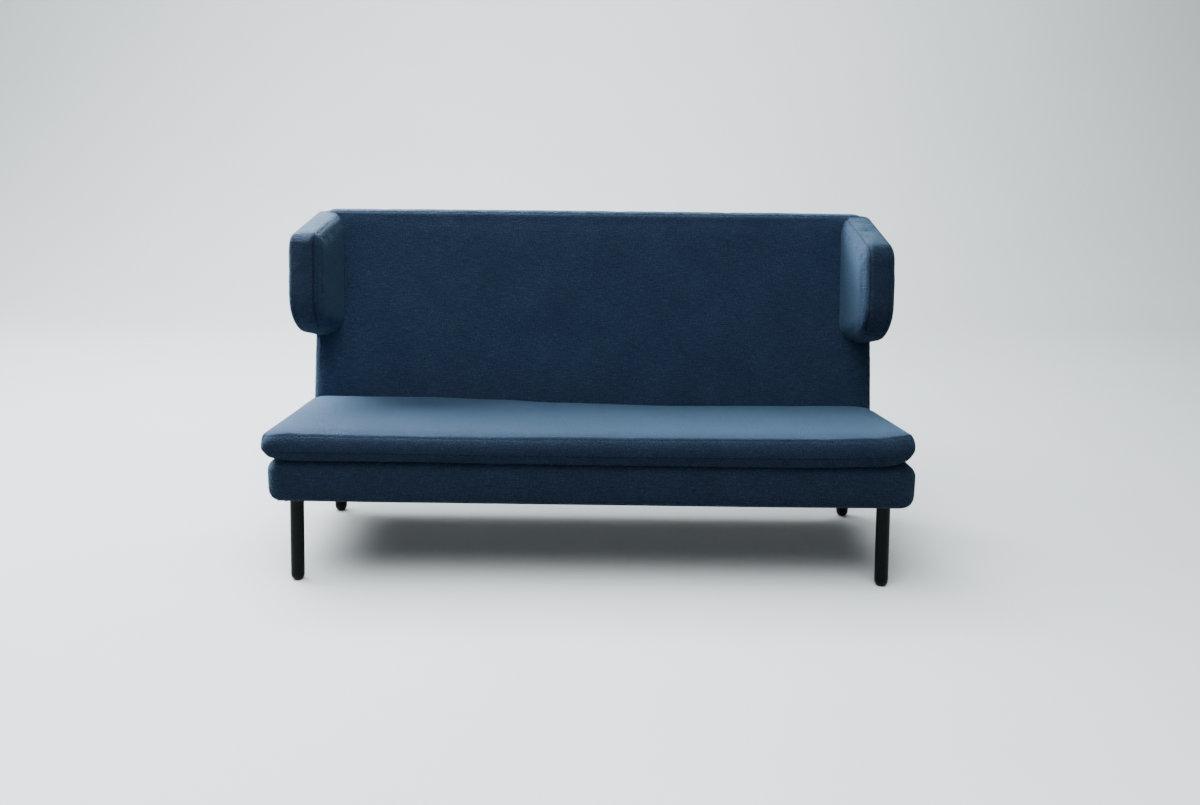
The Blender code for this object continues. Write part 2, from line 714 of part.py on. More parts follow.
def back_slab_mesh(name, inset):
    half_foot = HALF_BACK + FLOOR_DEPTH * tan(BACK_TAPER)
    corners = [
        (-half_foot, -FLOOR_DEPTH, 0.0), (half_foot, -FLOOR_DEPTH, 0.0),
        (HALF_BACK_TOP, BACK_HEIGHT, BACK_CORNER), (-HALF_BACK_TOP, BACK_HEIGHT, BACK_CORNER),
    ]
    bm = panel_bmesh(name, rounded_outline(corners), BACK_THICKNESS, PAD_EDGE, inset)
    for vert in bm.verts:
        x, up, across = vert.co
        vert.co = (x, across + BACK_THICKNESS / 2, up)
    return mesh_from(bm, name)


def make_back_upholstery():
    wings = {}
    linings = {}
    cores = {}
    for name, side in SIDES.items():
        frame = WING_FRAMES[name]
        wings[name] = add_cutter(f"{name}_wing_form", wing_mesh("wing_form", side, 0.0), frame)
        linings[name] = add_cutter(
            f"{name}_wing_lining", wing_mesh("wing_lining", side, COVER_FABRIC), frame)
        cores[name] = add_cutter(
            f"{name}_wing_core", wing_mesh("wing_core", side, FOAM_INSET), frame)
    deck = add_block_cutter(
        "deck_plane", (-BASE_WIDTH, -BASE_DEPTH, -FLOOR_DEPTH - BASE_HEIGHT),
        (BASE_WIDTH, 2 * BASE_DEPTH, BASE_HEIGHT + GAP), SEAT_FRAME,
    )
    slab_lining = add_cutter(
        "back_slab_lining", back_slab_mesh("back_lining", COVER_FABRIC), BACK_FRAME)

    cover = add_piece("back_cover", back_slab_mesh("back_cover", 0.0), BACK_FRAME, FABRIC)
    for form in wings.values():
        combine(cover, form, "UNION")
    combine(cover, slab_lining)
    for form in linings.values():
        combine(cover, form)
    combine(cover, deck)

    foam = add_piece("back_foam", back_slab_mesh("back_foam", FOAM_INSET), BACK_FRAME, FOAM)
    slab_bed = add_cutter(
        "back_slab_bed", back_slab_mesh("back_bed", FOAM_INSET - GAP), BACK_FRAME)
    pocket = add_block_cutter(
        "back_frame_pocket",
        (-STILE_OUTER - 4 * GAP, POCKET_FRONT, -FLOOR_DEPTH),
        (STILE_OUTER + 4 * GAP, BACK_THICKNESS + FLOOR_DEPTH, FRAME_TOP + GAP),
        BACK_FRAME,
    )
    combine(foam, pocket)
    combine(foam, deck)

    for name, side in SIDES.items():
        board = wing_board_mesh(name, side, 0.0)
        add_piece(f"{name}_wing_board", board, WING_FRAMES[name], PLYWOOD)
        slot = add_cutter(
            f"{name}_wing_board_slot", wing_board_mesh(name, side, GAP), WING_FRAMES[name])
        combine(foam, slot)
        wing = add_piece(f"{name}_wing_foam", cores[name].data.copy(), WING_FRAMES[name], FOAM)
        combine(wing, slab_bed)
        combine(wing, slot)


def wing_board_mesh(name, side, grow):
    """Plywood panel inside a wing, or the slot that holds it."""
    corners = wing_corners()
    outline = rounded_outline(corners, WING_BOARD_INSET - grow)
    start = BOARD_START - grow
    outline = [Vector((max(point.x, start), point.y)) for point in outline]
    low = min(point.x for point in outline)
    for point in outline:
        if point.x < low + WING_BOARD_INSET - BOARD_START + 0.001:
            point.x = start
    bm = panel_bmesh(f"{name}_wing_board", outline, WING_BOARD + 2 * grow)
    for vert in bm.verts:
        forward, up, across = vert.co
        vert.co = (-side * (WING_BOARD_DEPTH + WING_BOARD / 2 + across), -forward, up)
    return mesh_from(bm, f"{name}_wing_board")


def make_back_frame():
    front, rear = BACK_FRAME_FRONT, FRAME_REAR
    inner = STILE_OUTER - STILE_WIDTH
    for name, side in SIDES.items():
        edges = sorted((side * inner, side * STILE_OUTER))
        add_block(f"{name}_back_stile", (edges[0], front, FRAME_FOOT), (edges[1], rear, FRAME_TOP),
                  BACK_FRAME, BEECH)
    low = FRAME_FOOT + BOTTOM_RAIL_HEIGHT
    high = FRAME_TOP - TOP_RAIL_HEIGHT
    ends = inner - GAP
    add_block("back_bottom_rail", (-ends, front, FRAME_FOOT), (ends, rear, low), BACK_FRAME, BEECH)
    add_block("back_top_rail", (-ends, front, high), (ends, rear, FRAME_TOP), BACK_FRAME, BEECH)
    add_block("back_centre_stile", (-STILE_WIDTH / 2, front, low + GAP),
              (STILE_WIDTH / 2, rear, high - GAP), BACK_FRAME, BEECH)
    for number in range(WEBBING_COUNT):
        level = low + (high - low) * (number + 0.5) / WEBBING_COUNT
        add_block(
            f"back_webbing_{number + 1}",
            (-STILE_OUTER, front - GAP - WEBBING_THICKNESS, level - WEBBING_WIDTH / 2),
            (STILE_OUTER, front - GAP, level + WEBBING_WIDTH / 2),
            BACK_FRAME, WEBBING,
        )
    add_block(
        "back_rear_wadding", (-STILE_OUTER, FRAME_REAR + BRACKET_STEEL + 3 * GAP, FRAME_FOOT),
        (STILE_OUTER, BACK_THICKNESS - FOAM_INSET, FRAME_TOP - GAP), BACK_FRAME, WADDING,
    )


def make_brackets(cover, foam):
    """Bent flat bars from the rear rail up behind the back's bottom rail."""
    bend = (BRACKET_FRONT, BASE_HEIGHT)
    for number, x in enumerate((-BRACKET_SPACING, 0.0, BRACKET_SPACING)):
        name = f"back_bracket_{number + 1}"
        path = [
            (bend[0], bend[1] - BRACKET_DROP), bend,
            (bend[0] + BRACKET_RISE * sin(BACK_OPENING), bend[1] + BRACKET_RISE * cos(BACK_OPENING)),
        ]
        bm = bmesh.new()
        rows = [[bm.verts.new((across, y, z)) for across in (-BRACKET_WIDTH / 2, BRACKET_WIDTH / 2)]
                for y, z in path]
        for first, second in zip(rows, rows[1:]):
            bm.faces.new((first[0], first[1], second[1], second[0]))
        mesh = bpy.data.meshes.new(name)
        bm.to_mesh(mesh)
        bm.free()
        bracket = add_piece(name, mesh, SEAT_FRAME, ZINC_STEEL, (x, 0.0, 0.0))
        steel = bracket.modifiers.new("steel", "SOLIDIFY")
        steel.thickness = BRACKET_STEEL
        steel.offset = -1.0
        steel.use_even_offset = True
        slot = add_block_cutter(
            f"{name}_slot",
            (x - BRACKET_WIDTH / 2 - GAP, BRACKET_FRONT - GAP, PAD_FLOOR - SPRING_SPACE),
            (x + BRACKET_WIDTH / 2 + GAP, BRACKET_FRONT + BRACKET_STEEL + 3 * GAP,
             BASE_HEIGHT + GAP),
            SEAT_FRAME,
        )
        combine(cover, slot)
        combine(foam, slot)


def centre_origin():
    """Put the origin on the floor below the middle of the whole sofa."""
    graph = bpy.context.evaluated_depsgraph_get()
    reach = []
    for piece in SOFA.objects:
        if piece.type != "MESH":
            continue
        shape = piece.evaluated_get(graph)
        for vert in shape.data.vertices:
            reach.append((shape.matrix_world @ vert.co).y)
    SOFA_FRAME.location.y = -(min(reach) + max(reach)) / 2


def main():
    cover, foam = make_base_upholstery()
    make_base_timber()
    make_seat_springs()
    make_legs()
    make_seat_cushion()
    make_back_upholstery()
    make_back_frame()
    make_brackets(cover, foam)
    centre_origin()


main()
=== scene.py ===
"""Lounge sofa with a high winged back, dressed and lit for its picture."""
import json
from math import ceil, cos, pi, radians, sin, sqrt

import bmesh
import bpy
from mathutils import Matrix, Vector
from mathutils.bvhtree import BVHTree


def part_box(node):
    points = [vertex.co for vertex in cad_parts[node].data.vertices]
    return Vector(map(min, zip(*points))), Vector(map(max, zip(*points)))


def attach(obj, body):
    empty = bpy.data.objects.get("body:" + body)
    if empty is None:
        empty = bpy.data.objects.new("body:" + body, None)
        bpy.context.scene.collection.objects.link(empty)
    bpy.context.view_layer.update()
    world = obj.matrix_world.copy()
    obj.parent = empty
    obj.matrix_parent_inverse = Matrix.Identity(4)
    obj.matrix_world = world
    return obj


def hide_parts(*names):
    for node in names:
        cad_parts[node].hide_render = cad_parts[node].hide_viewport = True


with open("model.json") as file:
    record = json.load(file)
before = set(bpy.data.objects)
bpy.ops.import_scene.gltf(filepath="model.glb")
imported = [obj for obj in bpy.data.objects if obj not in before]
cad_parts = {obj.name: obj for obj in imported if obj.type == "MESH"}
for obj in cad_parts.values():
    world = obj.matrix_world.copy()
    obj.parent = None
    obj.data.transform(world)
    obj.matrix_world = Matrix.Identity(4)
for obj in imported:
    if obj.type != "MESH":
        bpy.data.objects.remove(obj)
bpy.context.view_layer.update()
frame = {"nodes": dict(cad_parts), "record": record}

NODES = frame["nodes"]

# Sizes of the base, and the slope of the seat
BASE_WIDTH = 1.854
BASE_DEPTH = 0.714
BASE_HEIGHT = 0.123
BASE_FLOOR = 0.0015
BASE_SHIFT = 0.0035
UNDERSIDE_HEIGHT = 0.264
SEAT_SLOPE = radians(4.5)
BASE_CORNER = 0.045
BASE_EDGE = 0.031
FRONT_FOOT_INSET = 0.075
HEM_HEIGHT = 0.019
BASE_BANDS = (0.040, 0.056, 0.072, 0.088)
BASE_CELLS = (0.022, 0.024)
BASE_GUARDS = (0.045, 0.058)
BASE_HELD_MARGIN = 0.002
BASE_SAG_REACH = 0.060
BASE_SAG_FADE = 0.050
BASE_SAG_TOP = 0.7
BASE_SAG_RISE = 0.6

# Sizes of the back
BACK_STAND = 0.5829
BACK_OPENING = radians(8.5)
BACK_WIDTH = 1.848
BACK_NARROWING = 0.024
BACK_HEIGHT = 0.702
BACK_THICKNESS = 0.092
BACK_CORNER = 0.060
BACK_EDGE = 0.026
BACK_FOOT_FLARE = 0.003
BACK_FOOT_DEPTH = 0.004
BACK_FOOT_CORNER = 0.024
BACK_FRONT_LOOP = 3
BACK_REAR_LOOP = 1
BACK_CELL = 0.018
BACK_GUARDS = (0.030, 0.045)

# Sizes of the wings
WING_SPLAY = radians(9.4)
WING_REACH = 0.186
WING_SHOULDER = {"left": 0.047, "right": 0.058}
WING_TOP_DROP = {"left": 0.107, "right": 0.128}
WING_TOP_CORNER = {"left": 0.042, "right": 0.068}
WING_SINK = {"left": 0.0035, "right": 0.0135}
WING_FLOOR = {"left": 0.280, "right": 0.272}
WING_FLOOR_RISE = 0.016
WING_LOW_CORNER = 0.115
WING_ROOT_CORNER = 0.034
WING_SHOULDER_CORNER = 0.040
WING_THICKNESS = 0.100
WING_ROOT_SWELL = 0.04
WING_OUTER_RIM = 0.018
WING_INNER_RIM = 0.028
WING_TUCK = 0.003
WING_RAISE = -0.0025
WING_INNER_ROLL = 0.055
WING_LEAST_SHARE = 0.60
MITRE_INNER = (0.086, 0.093)
MITRE_OUTER = (0.020, 0.050)
MITRE_STITCHES = 9
WING_BANDS = (0.036, 0.052)
WING_CELL = 0.013
WING_GUARDS = (0.040, 0.050)
WING_INNER_LOOP = 4

# Sizes of the seat cushion
CUSHION_WIDTH = 1.848
CUSHION_OVERHANG = 0.018
CUSHION_SHIFT = -0.006
CUSHION_REAR_GAP = 0.006
CUSHION_LIFT = 0.0003
CUSHION_FRONT_EDGE = 0.088
CUSHION_REAR_EDGE = 0.074
CUSHION_CROWN = 0.019
CROWN_POWERS = {"end": 9, "front": 2.2, "rear": 3.2}
EDGE_POWERS = {"end": 12, "front": 9, "sag": 12}
CUSHION_CORNER = 0.034
CUSHION_BOTTOM_ROLL = 0.024
CUSHION_END_LIFT = {"left": 0.006, "right": 0.014}
CUSHION_END_SPAN = 0.110
CUSHION_END_INSET = {"left": (0.25, 0.95), "right": (0.60, 0.60)}
CUSHION_END_REACH = {"left": 0.004, "right": 0.002}
CUSHION_CELL = 0.013
CUSHION_WALL_LINES = (0.0, 0.04, 0.12, 0.21, 0.57, 0.76, 0.86, 0.95, 1.0)
BOXING_SEAM = 0.36
BOXING_SEAM_GUARDS = (0.06, 0.05)
TOP_SEAM_INSET = 0.0190
TOP_INSET_POWER = 2.6
BOX_SEAM_INSET = 0.0030
TUCK_SLOPE_SHARE = 0.70
TUCK_ROUND_SHARE = 0.30
SHOULDER_DROP = 0.0026
SHOULDER_SPAN = 0.013
ZIP_LENGTH = 1.200
ZIP_LEVEL = 0.042
ZIP_HALF_HEIGHT = 0.0072
ZIP_DEPTH = 0.0034
ZIP_MARGIN = 0.0004
ZIP_GUARD = 0.02
REAR_LEAN_START = 0.9
REAR_LEAN_SPAN = 0.1

# How far the cushion's top edge has settled, from its left end to its right
FRONT_SETTLE = (
    (-1.0, -0.015), (-0.92, -0.0115), (-0.63, -0.0150), (-0.35, -0.0170), (0.10, -0.0145),
    (0.72, -0.0110), (0.87, -0.0060), (0.97, 0.003), (1.0, 0.004),
)
REAR_SETTLE = (
    (-1.0, 0.004), (-0.60, 0.002), (-0.35, -0.004), (-0.10, -0.013), (0.30, -0.020),
    (0.60, -0.017), (1.0, -0.012),
)

# How far the cushion's lower front edge hangs down, and how far the base's does
FRONT_SAG = (
    (-1.0, 0.0), (-0.5, 0.0), (-0.2, 0.0025), (0.15, 0.0045), (0.72, 0.0045), (0.86, 0.0),
    (1.0, 0.0),
)
BASE_SAG = ((-1.0, 0.002), (-0.6, 0.004), (0.0, 0.0055), (0.5, 0.0068), (1.0, 0.0062))

# Seams, weave and cloth simulation
TOLERANCE = 0.0001
CUT_REACH = 0.00005
SEAM_GUARD = 0.0045
FORM_GUARD = 0.011
STITCH_LENGTH = 0.0052
STITCH_PITCH = 0.0070
STITCH_WIDTH = 0.0013
STITCH_RISE = 0.0003
INWARD_LIMIT = 0.0004
RIM_STEPS = 6
WEAVE_PITCH = 0.0019
CLOTH_FRAMES = 16
CLOTH_SETTINGS = {
    "quality": 5,
    "mass": 0.25,
    "tension_stiffness": 12.0,
    "compression_stiffness": 8.0,
    "shear_stiffness": 5.0,
    "bending_stiffness": 0.6,
    "air_damping": 3.0,
    "use_pressure": True,
}
FILLINGS = {
    # pressure, farthest rise, spare cloth, times that the rises are evened out
    "cushion": (1.2, 0.005, 0.012, 3),
    "base": (1.0, 0.003, 0.006, 0),
    "back": (0.9, 0.004, 0.004, 0),
    "wing": (1.0, 0.006, 0.010, 0),
}
GROOVES = {
    # depth, strength of the painted shade in the groove
    "cushion_top": (0.0010, 0.60),
    "cushion_boxing": (0.0020, 0.80),
    "base_hem": (0.0014, 0.70),
    "back_front": (0.0020, 1.00),
    "back_rear": (0.0014, 0.80),
    "wing_outer": (0.0006, 0.45),
    "wing_inner": (0.0020, 0.95),
}

# Colours of the wool, from its darkest fibres to its palest, the painted shade of the wings and
# the painted shade of the seam grooves
WOOL_STOPS = (
    (0.32, (0.010, 0.019, 0.048)),
    (0.46, (0.031, 0.058, 0.122)),
    (0.55, (0.054, 0.098, 0.192)),
    (0.68, (0.170, 0.250, 0.375)),
)
WOOL_SHADE = (0.008, 0.015, 0.030, 1.0)
SEAM_SHADE = (0.003, 0.006, 0.012, 1.0)
WOOL_SHEEN = (0.37, 0.72, 1.0, 1.0)

# How much each grain of the wool adds to its tone, and to its height
TONE = {"yarn": 0.32, "fibre": 0.10, "slub": 0.17, "knot": 0.25, "cloud": 0.06, "nap": 0.22}
TONE_SHIFT = 0.06
RELIEF = {"yarn": 0.5, "fibre": 0.4, "knot": 3.4, "nap": 9.0, "pucker": 6.0}

# Camera of the picture
LENS = 35.01
SENSOR = 36.0
CAMERA_PLACE = (0.028, -3.128, 1.4135)
CAMERA_PITCH = radians(15.068)
CAMERA_YAW = radians(-0.041)
CAMERA_ROLL = radians(-0.604)

# Studio: a paper sweep, the air's own light, and softboxes of which some light
# only the sofa and the others only the sweep
SWEEP_HALF_SIZE = (9.0, 6.5)
SWEEP_HEIGHT = 7.0
SWEEP_BEND = 3.0
AIR_COLOUR = (0.90, 0.95, 1.0, 1.0)
AIR_STRENGTH = 0.080
LIGHT_COLOUR = (0.95, 0.985, 1.0)
SOFA_LIGHTS = (
    # name, place, aim, size, power
    ("key_softbox", (-2.15, 2.3, 2.6), (0.05, -0.4, 0.2), (3.6, 1.8), 920.0),
    ("overhead_softbox", (-0.6, -0.8, 4.2), (0.0, -0.4, 0.0), (3.6, 3.0), 96.0),
    ("front_softbox", (-1.0, -3.4, 2.8), (0.2, 0.0, 0.5), (3.4, 2.0), 12.0),
    ("left_softbox", (-3.4, 1.1, 1.8), (-0.9, 0.0, 1.0), (1.4, 1.0), 5.0),
)
SWEEP_LIGHTS = (
    ("floor_softbox", (-1.5, -0.5, 4.0), (-1.1, -0.2, 0.0), (8.2, 3.8), 880.0),
    ("floor_fill", (0.0, -4.5, 1.3), (0.0, 0.0, 0.0), (7.0, 1.4), 36.0),
    ("backdrop_light", (0.0, 2.2, 4.6), (-0.7, 6.0, 1.2), (6.0, 1.5), 480.0),
)

# Places that follow from the sizes, and from where the CAD's front leg stands
low_leg, high_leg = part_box("left_front_leg_tube")
SOFA_Y = (low_leg.y + high_leg.y) / 2 - FRONT_FOOT_INSET
HALF_BACK = BACK_WIDTH / 2
HALF_BACK_TOP = HALF_BACK - BACK_NARROWING / 2
WING_ORIGIN_X = HALF_BACK - WING_TUCK
WING_ORIGIN_Y = BACK_THICKNESS - WING_TUCK
WING_LENGTH = (WING_ORIGIN_Y + WING_REACH) / cos(WING_SPLAY)
CUSHION_REAR_LEAN = sin(BACK_OPENING) / cos(BACK_OPENING)
CUSHION_DEPTH = BACK_STAND + CUSHION_OVERHANG - CUSHION_REAR_GAP
SIDES = {"left": -1, "right": 1}

SOFA_PLACE = Matrix.Translation((0.0, SOFA_Y, 0.0))
SEAT_PLACE = (
    SOFA_PLACE @ Matrix.Translation((0.0, 0.0, UNDERSIDE_HEIGHT))
    @ Matrix.Rotation(-SEAT_SLOPE, 4, "X")
)
BACK_PLACE = (
    SEAT_PLACE @ Matrix.Translation((0.0, BACK_STAND, BASE_HEIGHT))
    @ Matrix.Rotation(-BACK_OPENING, 4, "X")
)
CUSHION_PLACE = SEAT_PLACE @ Matrix.Translation(
    (CUSHION_SHIFT, -CUSHION_OVERHANG, BASE_HEIGHT + CUSHION_LIFT))
WING_PLACES = {
    name: BACK_PLACE
    @ Matrix.Translation((side * (WING_ORIGIN_X - WING_SINK[name]), WING_ORIGIN_Y, 0.0))
    @ Matrix.Rotation(side * WING_SPLAY, 4, "Z")
    for name, side in SIDES.items()
}


# Shader maths written as ordinary expressions
class Value:
    """A shader socket; arithmetic on it adds Math nodes to its material."""

    def __init__(self, shader, socket):
        self.shader = shader
        self.socket = socket

    def math(self, operation, *others, clamp=False):
        parts = dict(enumerate((self, *others)))
        settings = {"operation": operation, "use_clamp": clamp}
        return self.shader.add("ShaderNodeMath", settings, parts)

    def __add__(self, other):
        return self.math("ADD", other)

    def __sub__(self, other):
        return self.math("SUBTRACT", other)

    def __rsub__(self, other):
        return self.math("MULTIPLY_ADD", -1.0, other)

    def __mul__(self, other):
        return self.math("MULTIPLY", other)

    def clamped(self):
        return self.math("ADD", 0.0, clamp=True)


class Shader:
    """One material and the nodes that it is built from."""

    # Sockets by number, on nodes where several have one name
    OBJECT_PLACE = 3
    ATTRIBUTE_FACTOR = 2
    MIX_FIRST = 6
    MIX_SECOND = 7
    MIX_COLOUR = 2

    def __init__(self, name):
        self.material = bpy.data.materials.new(name)
        self.material.use_nodes = True
        self.tree = self.material.node_tree
        self.surface = self.tree.nodes["Principled BSDF"]

    def add(self, kind, settings=None, inputs=None, output=0):
        """Add a node with its settings and inputs; "stops" fills a colour ramp."""
        node = self.tree.nodes.new(kind)
        for key, setting in (settings or {}).items():
            if key == "stops":
                ramp = node.color_ramp
                while len(ramp.elements) < len(setting):
                    ramp.elements.new(0.5)
                for element, (place, colour) in zip(ramp.elements, setting):
                    element.position = place
                    element.color = (*colour, 1.0)
            else:
                setattr(node, key, setting)
        for key, value in (inputs or {}).items():
            self.join(value, node.inputs[key])
        return Value(self, node.outputs[output])

    def join(self, value, socket):
        if isinstance(value, Value):
            self.tree.links.new(value.socket, socket)
        else:
            socket.default_value = value

    def set(self, **inputs):
        for key, value in inputs.items():
            self.join(value, self.surface.inputs[key.replace("_", " ")])

    def place(self, uv=""):
        """The point's own place: its object coordinates, or those of a named UV map."""
        if uv:
            return self.add("ShaderNodeUVMap", {"uv_map": uv})
        return self.add("ShaderNodeTexCoord", output=self.OBJECT_PLACE)

    def split(self, vector):
        node = self.add("ShaderNodeSeparateXYZ", None, {0: vector}).socket.node
        return [Value(self, socket) for socket in node.outputs]

    def vector(self, x, y, z=0.0):
        return self.add("ShaderNodeCombineXYZ", None, {0: x, 1: y, 2: z})

    def grain(self, vector, scale, detail=2.0, roughness=0.5):
        inputs = {"Vector": vector, "Scale": scale, "Detail": detail, "Roughness": roughness}
        return self.add("ShaderNodeTexNoise", {"noise_dimensions": "3D"}, inputs)

    def ramp(self, value, *stops):
        return self.add("ShaderNodeValToRGB", {"stops": stops}, {0: value})

    def blend(self, share, first, second):
        settings = {"data_type": "RGBA", "blend_type": "MIX"}
        inputs = {0: share, self.MIX_FIRST: first, self.MIX_SECOND: second}
        return self.add("ShaderNodeMix", settings, inputs, self.MIX_COLOUR)

    def bump(self, height, strength, distance):
        inputs = {"Height": height, "Strength": strength, "Distance": distance}
        self.set(Normal=self.add("ShaderNodeBump", None, inputs))
        return self


def wool_cloth(name, shade, sheen):
    """Plain-woven melange wool: navy, mid blue and pale fibres in every yarn."""
    s = Shader(name)
    across, up, _ = s.split(s.place("weave"))
    warp_wave = (across * (pi / WEAVE_PITCH)).math("SINE")
    weft_wave = (up * (pi / WEAVE_PITCH)).math("SINE")
    over = (warp_wave * weft_wave * 3.0).math("MINIMUM", 1.0).math("MAXIMUM", -1.0)
    warp_height = warp_wave.math("ABSOLUTE") * (over * 0.38 + 0.62)
    weft_height = weft_wave.math("ABSOLUTE") * (over * -0.38 + 0.62)
    warp_shows = ((warp_height - weft_height) * 4.0 + 0.5).clamped()

    # Each yarn's own tone, its single fibres, thick places, knots and raised nap
    warp_tone = s.grain(s.vector(across * 520.0, up * 46.0), 1.0, 2.0, 0.6)
    weft_tone = s.grain(s.vector(across * 40.0, up * 520.0, 7.0), 1.0, 2.0, 0.6)
    yarn_tone = warp_tone * warp_shows + weft_tone * (1.0 - warp_shows)
    fibre = s.grain(s.vector(across, up, 3.0), 1900.0, 1.0)
    slub = s.grain(s.vector(across * 22.0, up * 360.0, 5.0), 1.0, 2.0, 0.6)
    cloud = s.grain(s.vector(across, up, 11.0), 7.0, 1.0)
    knot = s.grain(s.vector(across, up, 17.0), 400.0, 2.0, 0.7)
    nap = s.grain(s.vector(across, up, 29.0), 190.0, 2.0, 0.6)
    tone = (yarn_tone * TONE["yarn"] + fibre * TONE["fibre"] + slub * TONE["slub"]
            + knot * TONE["knot"] + cloud * TONE["cloud"] + nap * TONE["nap"] - TONE_SHIFT)
    colour = s.ramp(tone, *WOOL_STOPS)
    # The wings' copy is blended towards WOOL_SHADE: painted shade, so that the wings catch less
    # light
    if shade:
        colour = s.blend(shade, colour, WOOL_SHADE)

    # Painted shade darkens the seams' grooves, and the cloth puckers along them
    seam = s.add("ShaderNodeAttribute", {"attribute_name": "seam"}, output=s.ATTRIBUTE_FACTOR)
    seam_shade_share = ((seam - 0.06) * 1.15).clamped()
    colour = s.blend(seam_shade_share * seam_shade_share, colour, SEAM_SHADE)
    pucker = s.grain(s.vector(across, up, 23.0), 75.0, 1.0) * seam
    yarn_height = warp_height.math("MAXIMUM", weft_height)
    height = (yarn_height * RELIEF["yarn"] + fibre * RELIEF["fibre"] + knot * RELIEF["knot"]
              + nap * RELIEF["nap"])
    s.set(Base_Color=colour, Roughness=fibre * 0.12 + 0.84, Specular_IOR_Level=0.25,
          Sheen_Weight=sheen, Sheen_Roughness=0.38, Sheen_Tint=WOOL_SHEEN)
    return s.bump(height + pucker * RELIEF["pucker"], 0.75, 0.0009).material


def seam_thread():
    s = Shader("navy_thread")
    twist = s.grain(s.place(), 900.0, 1.0)
    colour = s.ramp(twist, (0.3, (0.010, 0.022, 0.050)), (0.7, (0.040, 0.078, 0.145)))
    s.set(Base_Color=colour, Roughness=0.62)
    return s.bump(twist, 0.4, 0.0003).material


def powder_coat():
    s = Shader("black_powder_coat")
    peel = s.grain(s.place(), 520.0, 2.0)
    dust = s.grain(s.place(), 60.0, 3.0)
    colour = s.ramp(dust, (0.3, (0.0022, 0.0034, 0.0040)), (0.7, (0.0038, 0.0054, 0.0062)))
    s.set(Base_Color=colour, Roughness=peel * 0.16 + 0.44, Specular_IOR_Level=0.10)
    return s.bump(peel, 0.16, 0.0003).material


def nylon():
    s = Shader("black_nylon")
    grain = s.grain(s.place(), 700.0, 2.0)
    colour = s.ramp(grain, (0.3, (0.003, 0.003, 0.004)), (0.7, (0.006, 0.006, 0.007)))
    s.set(Base_Color=colour, Roughness=grain * 0.15 + 0.42, Specular_IOR_Level=0.12)
    return s.bump(grain, 0.12, 0.0002).material


def steel(name, dark, light, roughness):
    """Steel with fine lines drawn along one way."""
    s = Shader(name)
    x, y, z = s.split(s.place())
    drawn = s.grain(s.vector(x * 900.0, y * 60.0, z * 900.0), 1.0, 2.0)
    colour = s.ramp(drawn, (0.3, dark), (0.7, light))
    s.set(Base_Color=colour, Roughness=drawn * 0.18 + roughness, Metallic=1.0)
    return s.bump(drawn, 0.08, 0.0002).material


def timber():
    s = Shader("beech_timber")
    x, y, z = s.split(s.place())
    rings = s.grain(s.vector(x * 7.0, y * 60.0, z * 60.0), 1.0, 4.0, 0.6)
    flecks = s.grain(s.vector(x * 90.0, y * 700.0, z * 700.0), 1.0, 1.0)
    tone = rings * 0.75 + flecks * 0.25
    colour = s.ramp(tone, (0.35, (0.42, 0.26, 0.14)), (0.62, (0.62, 0.43, 0.26)))
    s.set(Base_Color=colour, Roughness=flecks * 0.2 + 0.48)
    return s.bump(flecks, 0.15, 0.0003).material


def plywood():
    s = Shader("birch_plywood")
    x, y, z = s.split(s.place())
    ply_pitch = 0.003
    plies = (x * (2 * pi / ply_pitch)).math("SINE") * 0.5 + 0.5
    grain = s.grain(s.vector(x * 80.0, y * 80.0, z * 9.0), 1.0, 4.0, 0.6)
    tone = plies * 0.2 + grain * 0.8
    colour = s.ramp(tone, (0.35, (0.48, 0.33, 0.19)), (0.65, (0.72, 0.57, 0.38)))
    s.set(Base_Color=colour, Roughness=0.6)
    return s.bump(grain, 0.1, 0.0003).material


def foam():
    s = Shader("upholstery_foam")
    cells = s.add("ShaderNodeTexVoronoi", None, {"Vector": s.place(), "Scale": 420.0})
    cloud = s.grain(s.place(), 12.0, 3.0)
    colour = s.ramp(cloud, (0.35, (0.70, 0.63, 0.43)), (0.65, (0.82, 0.76, 0.57)))
    s.set(Base_Color=colour, Roughness=0.95)
    return s.bump(cells, 0.5, 0.0008).material


def fibre_mat(name, dark, light, scale, roughness):
    """Fibres lying every way, such as wadding or spun dust cloth."""
    s = Shader(name)
    x, y, z = s.split(s.place())
    one_way = s.grain(s.vector(x * 6.0, y, z), scale, 2.0)
    other_way = s.grain(s.vector(x, y * 6.0, z * 2.0), scale, 2.0)
    mat = one_way.math("MAXIMUM", other_way)
    s.set(Base_Color=s.ramp(mat, (0.4, dark), (0.7, light)), Roughness=roughness)
    return s.bump(mat, 0.4, 0.0006).material


def ribbed_band(name, dark, light, pitch):
    """Woven band with ribs both ways."""
    s = Shader(name)
    x, _, z = s.split(s.place())
    ribs = (z * (2 * pi / pitch)).math("SINE") * 0.5 + 0.5
    picks = (x * (2 * pi / pitch)).math("SINE") * 0.5 + 0.5
    weave = ribs * 0.6 + picks * 0.4
    s.set(Base_Color=s.ramp(weave, (0.2, dark), (0.8, light)), Roughness=0.85)
    return s.bump(weave, 0.5, 0.0005).material


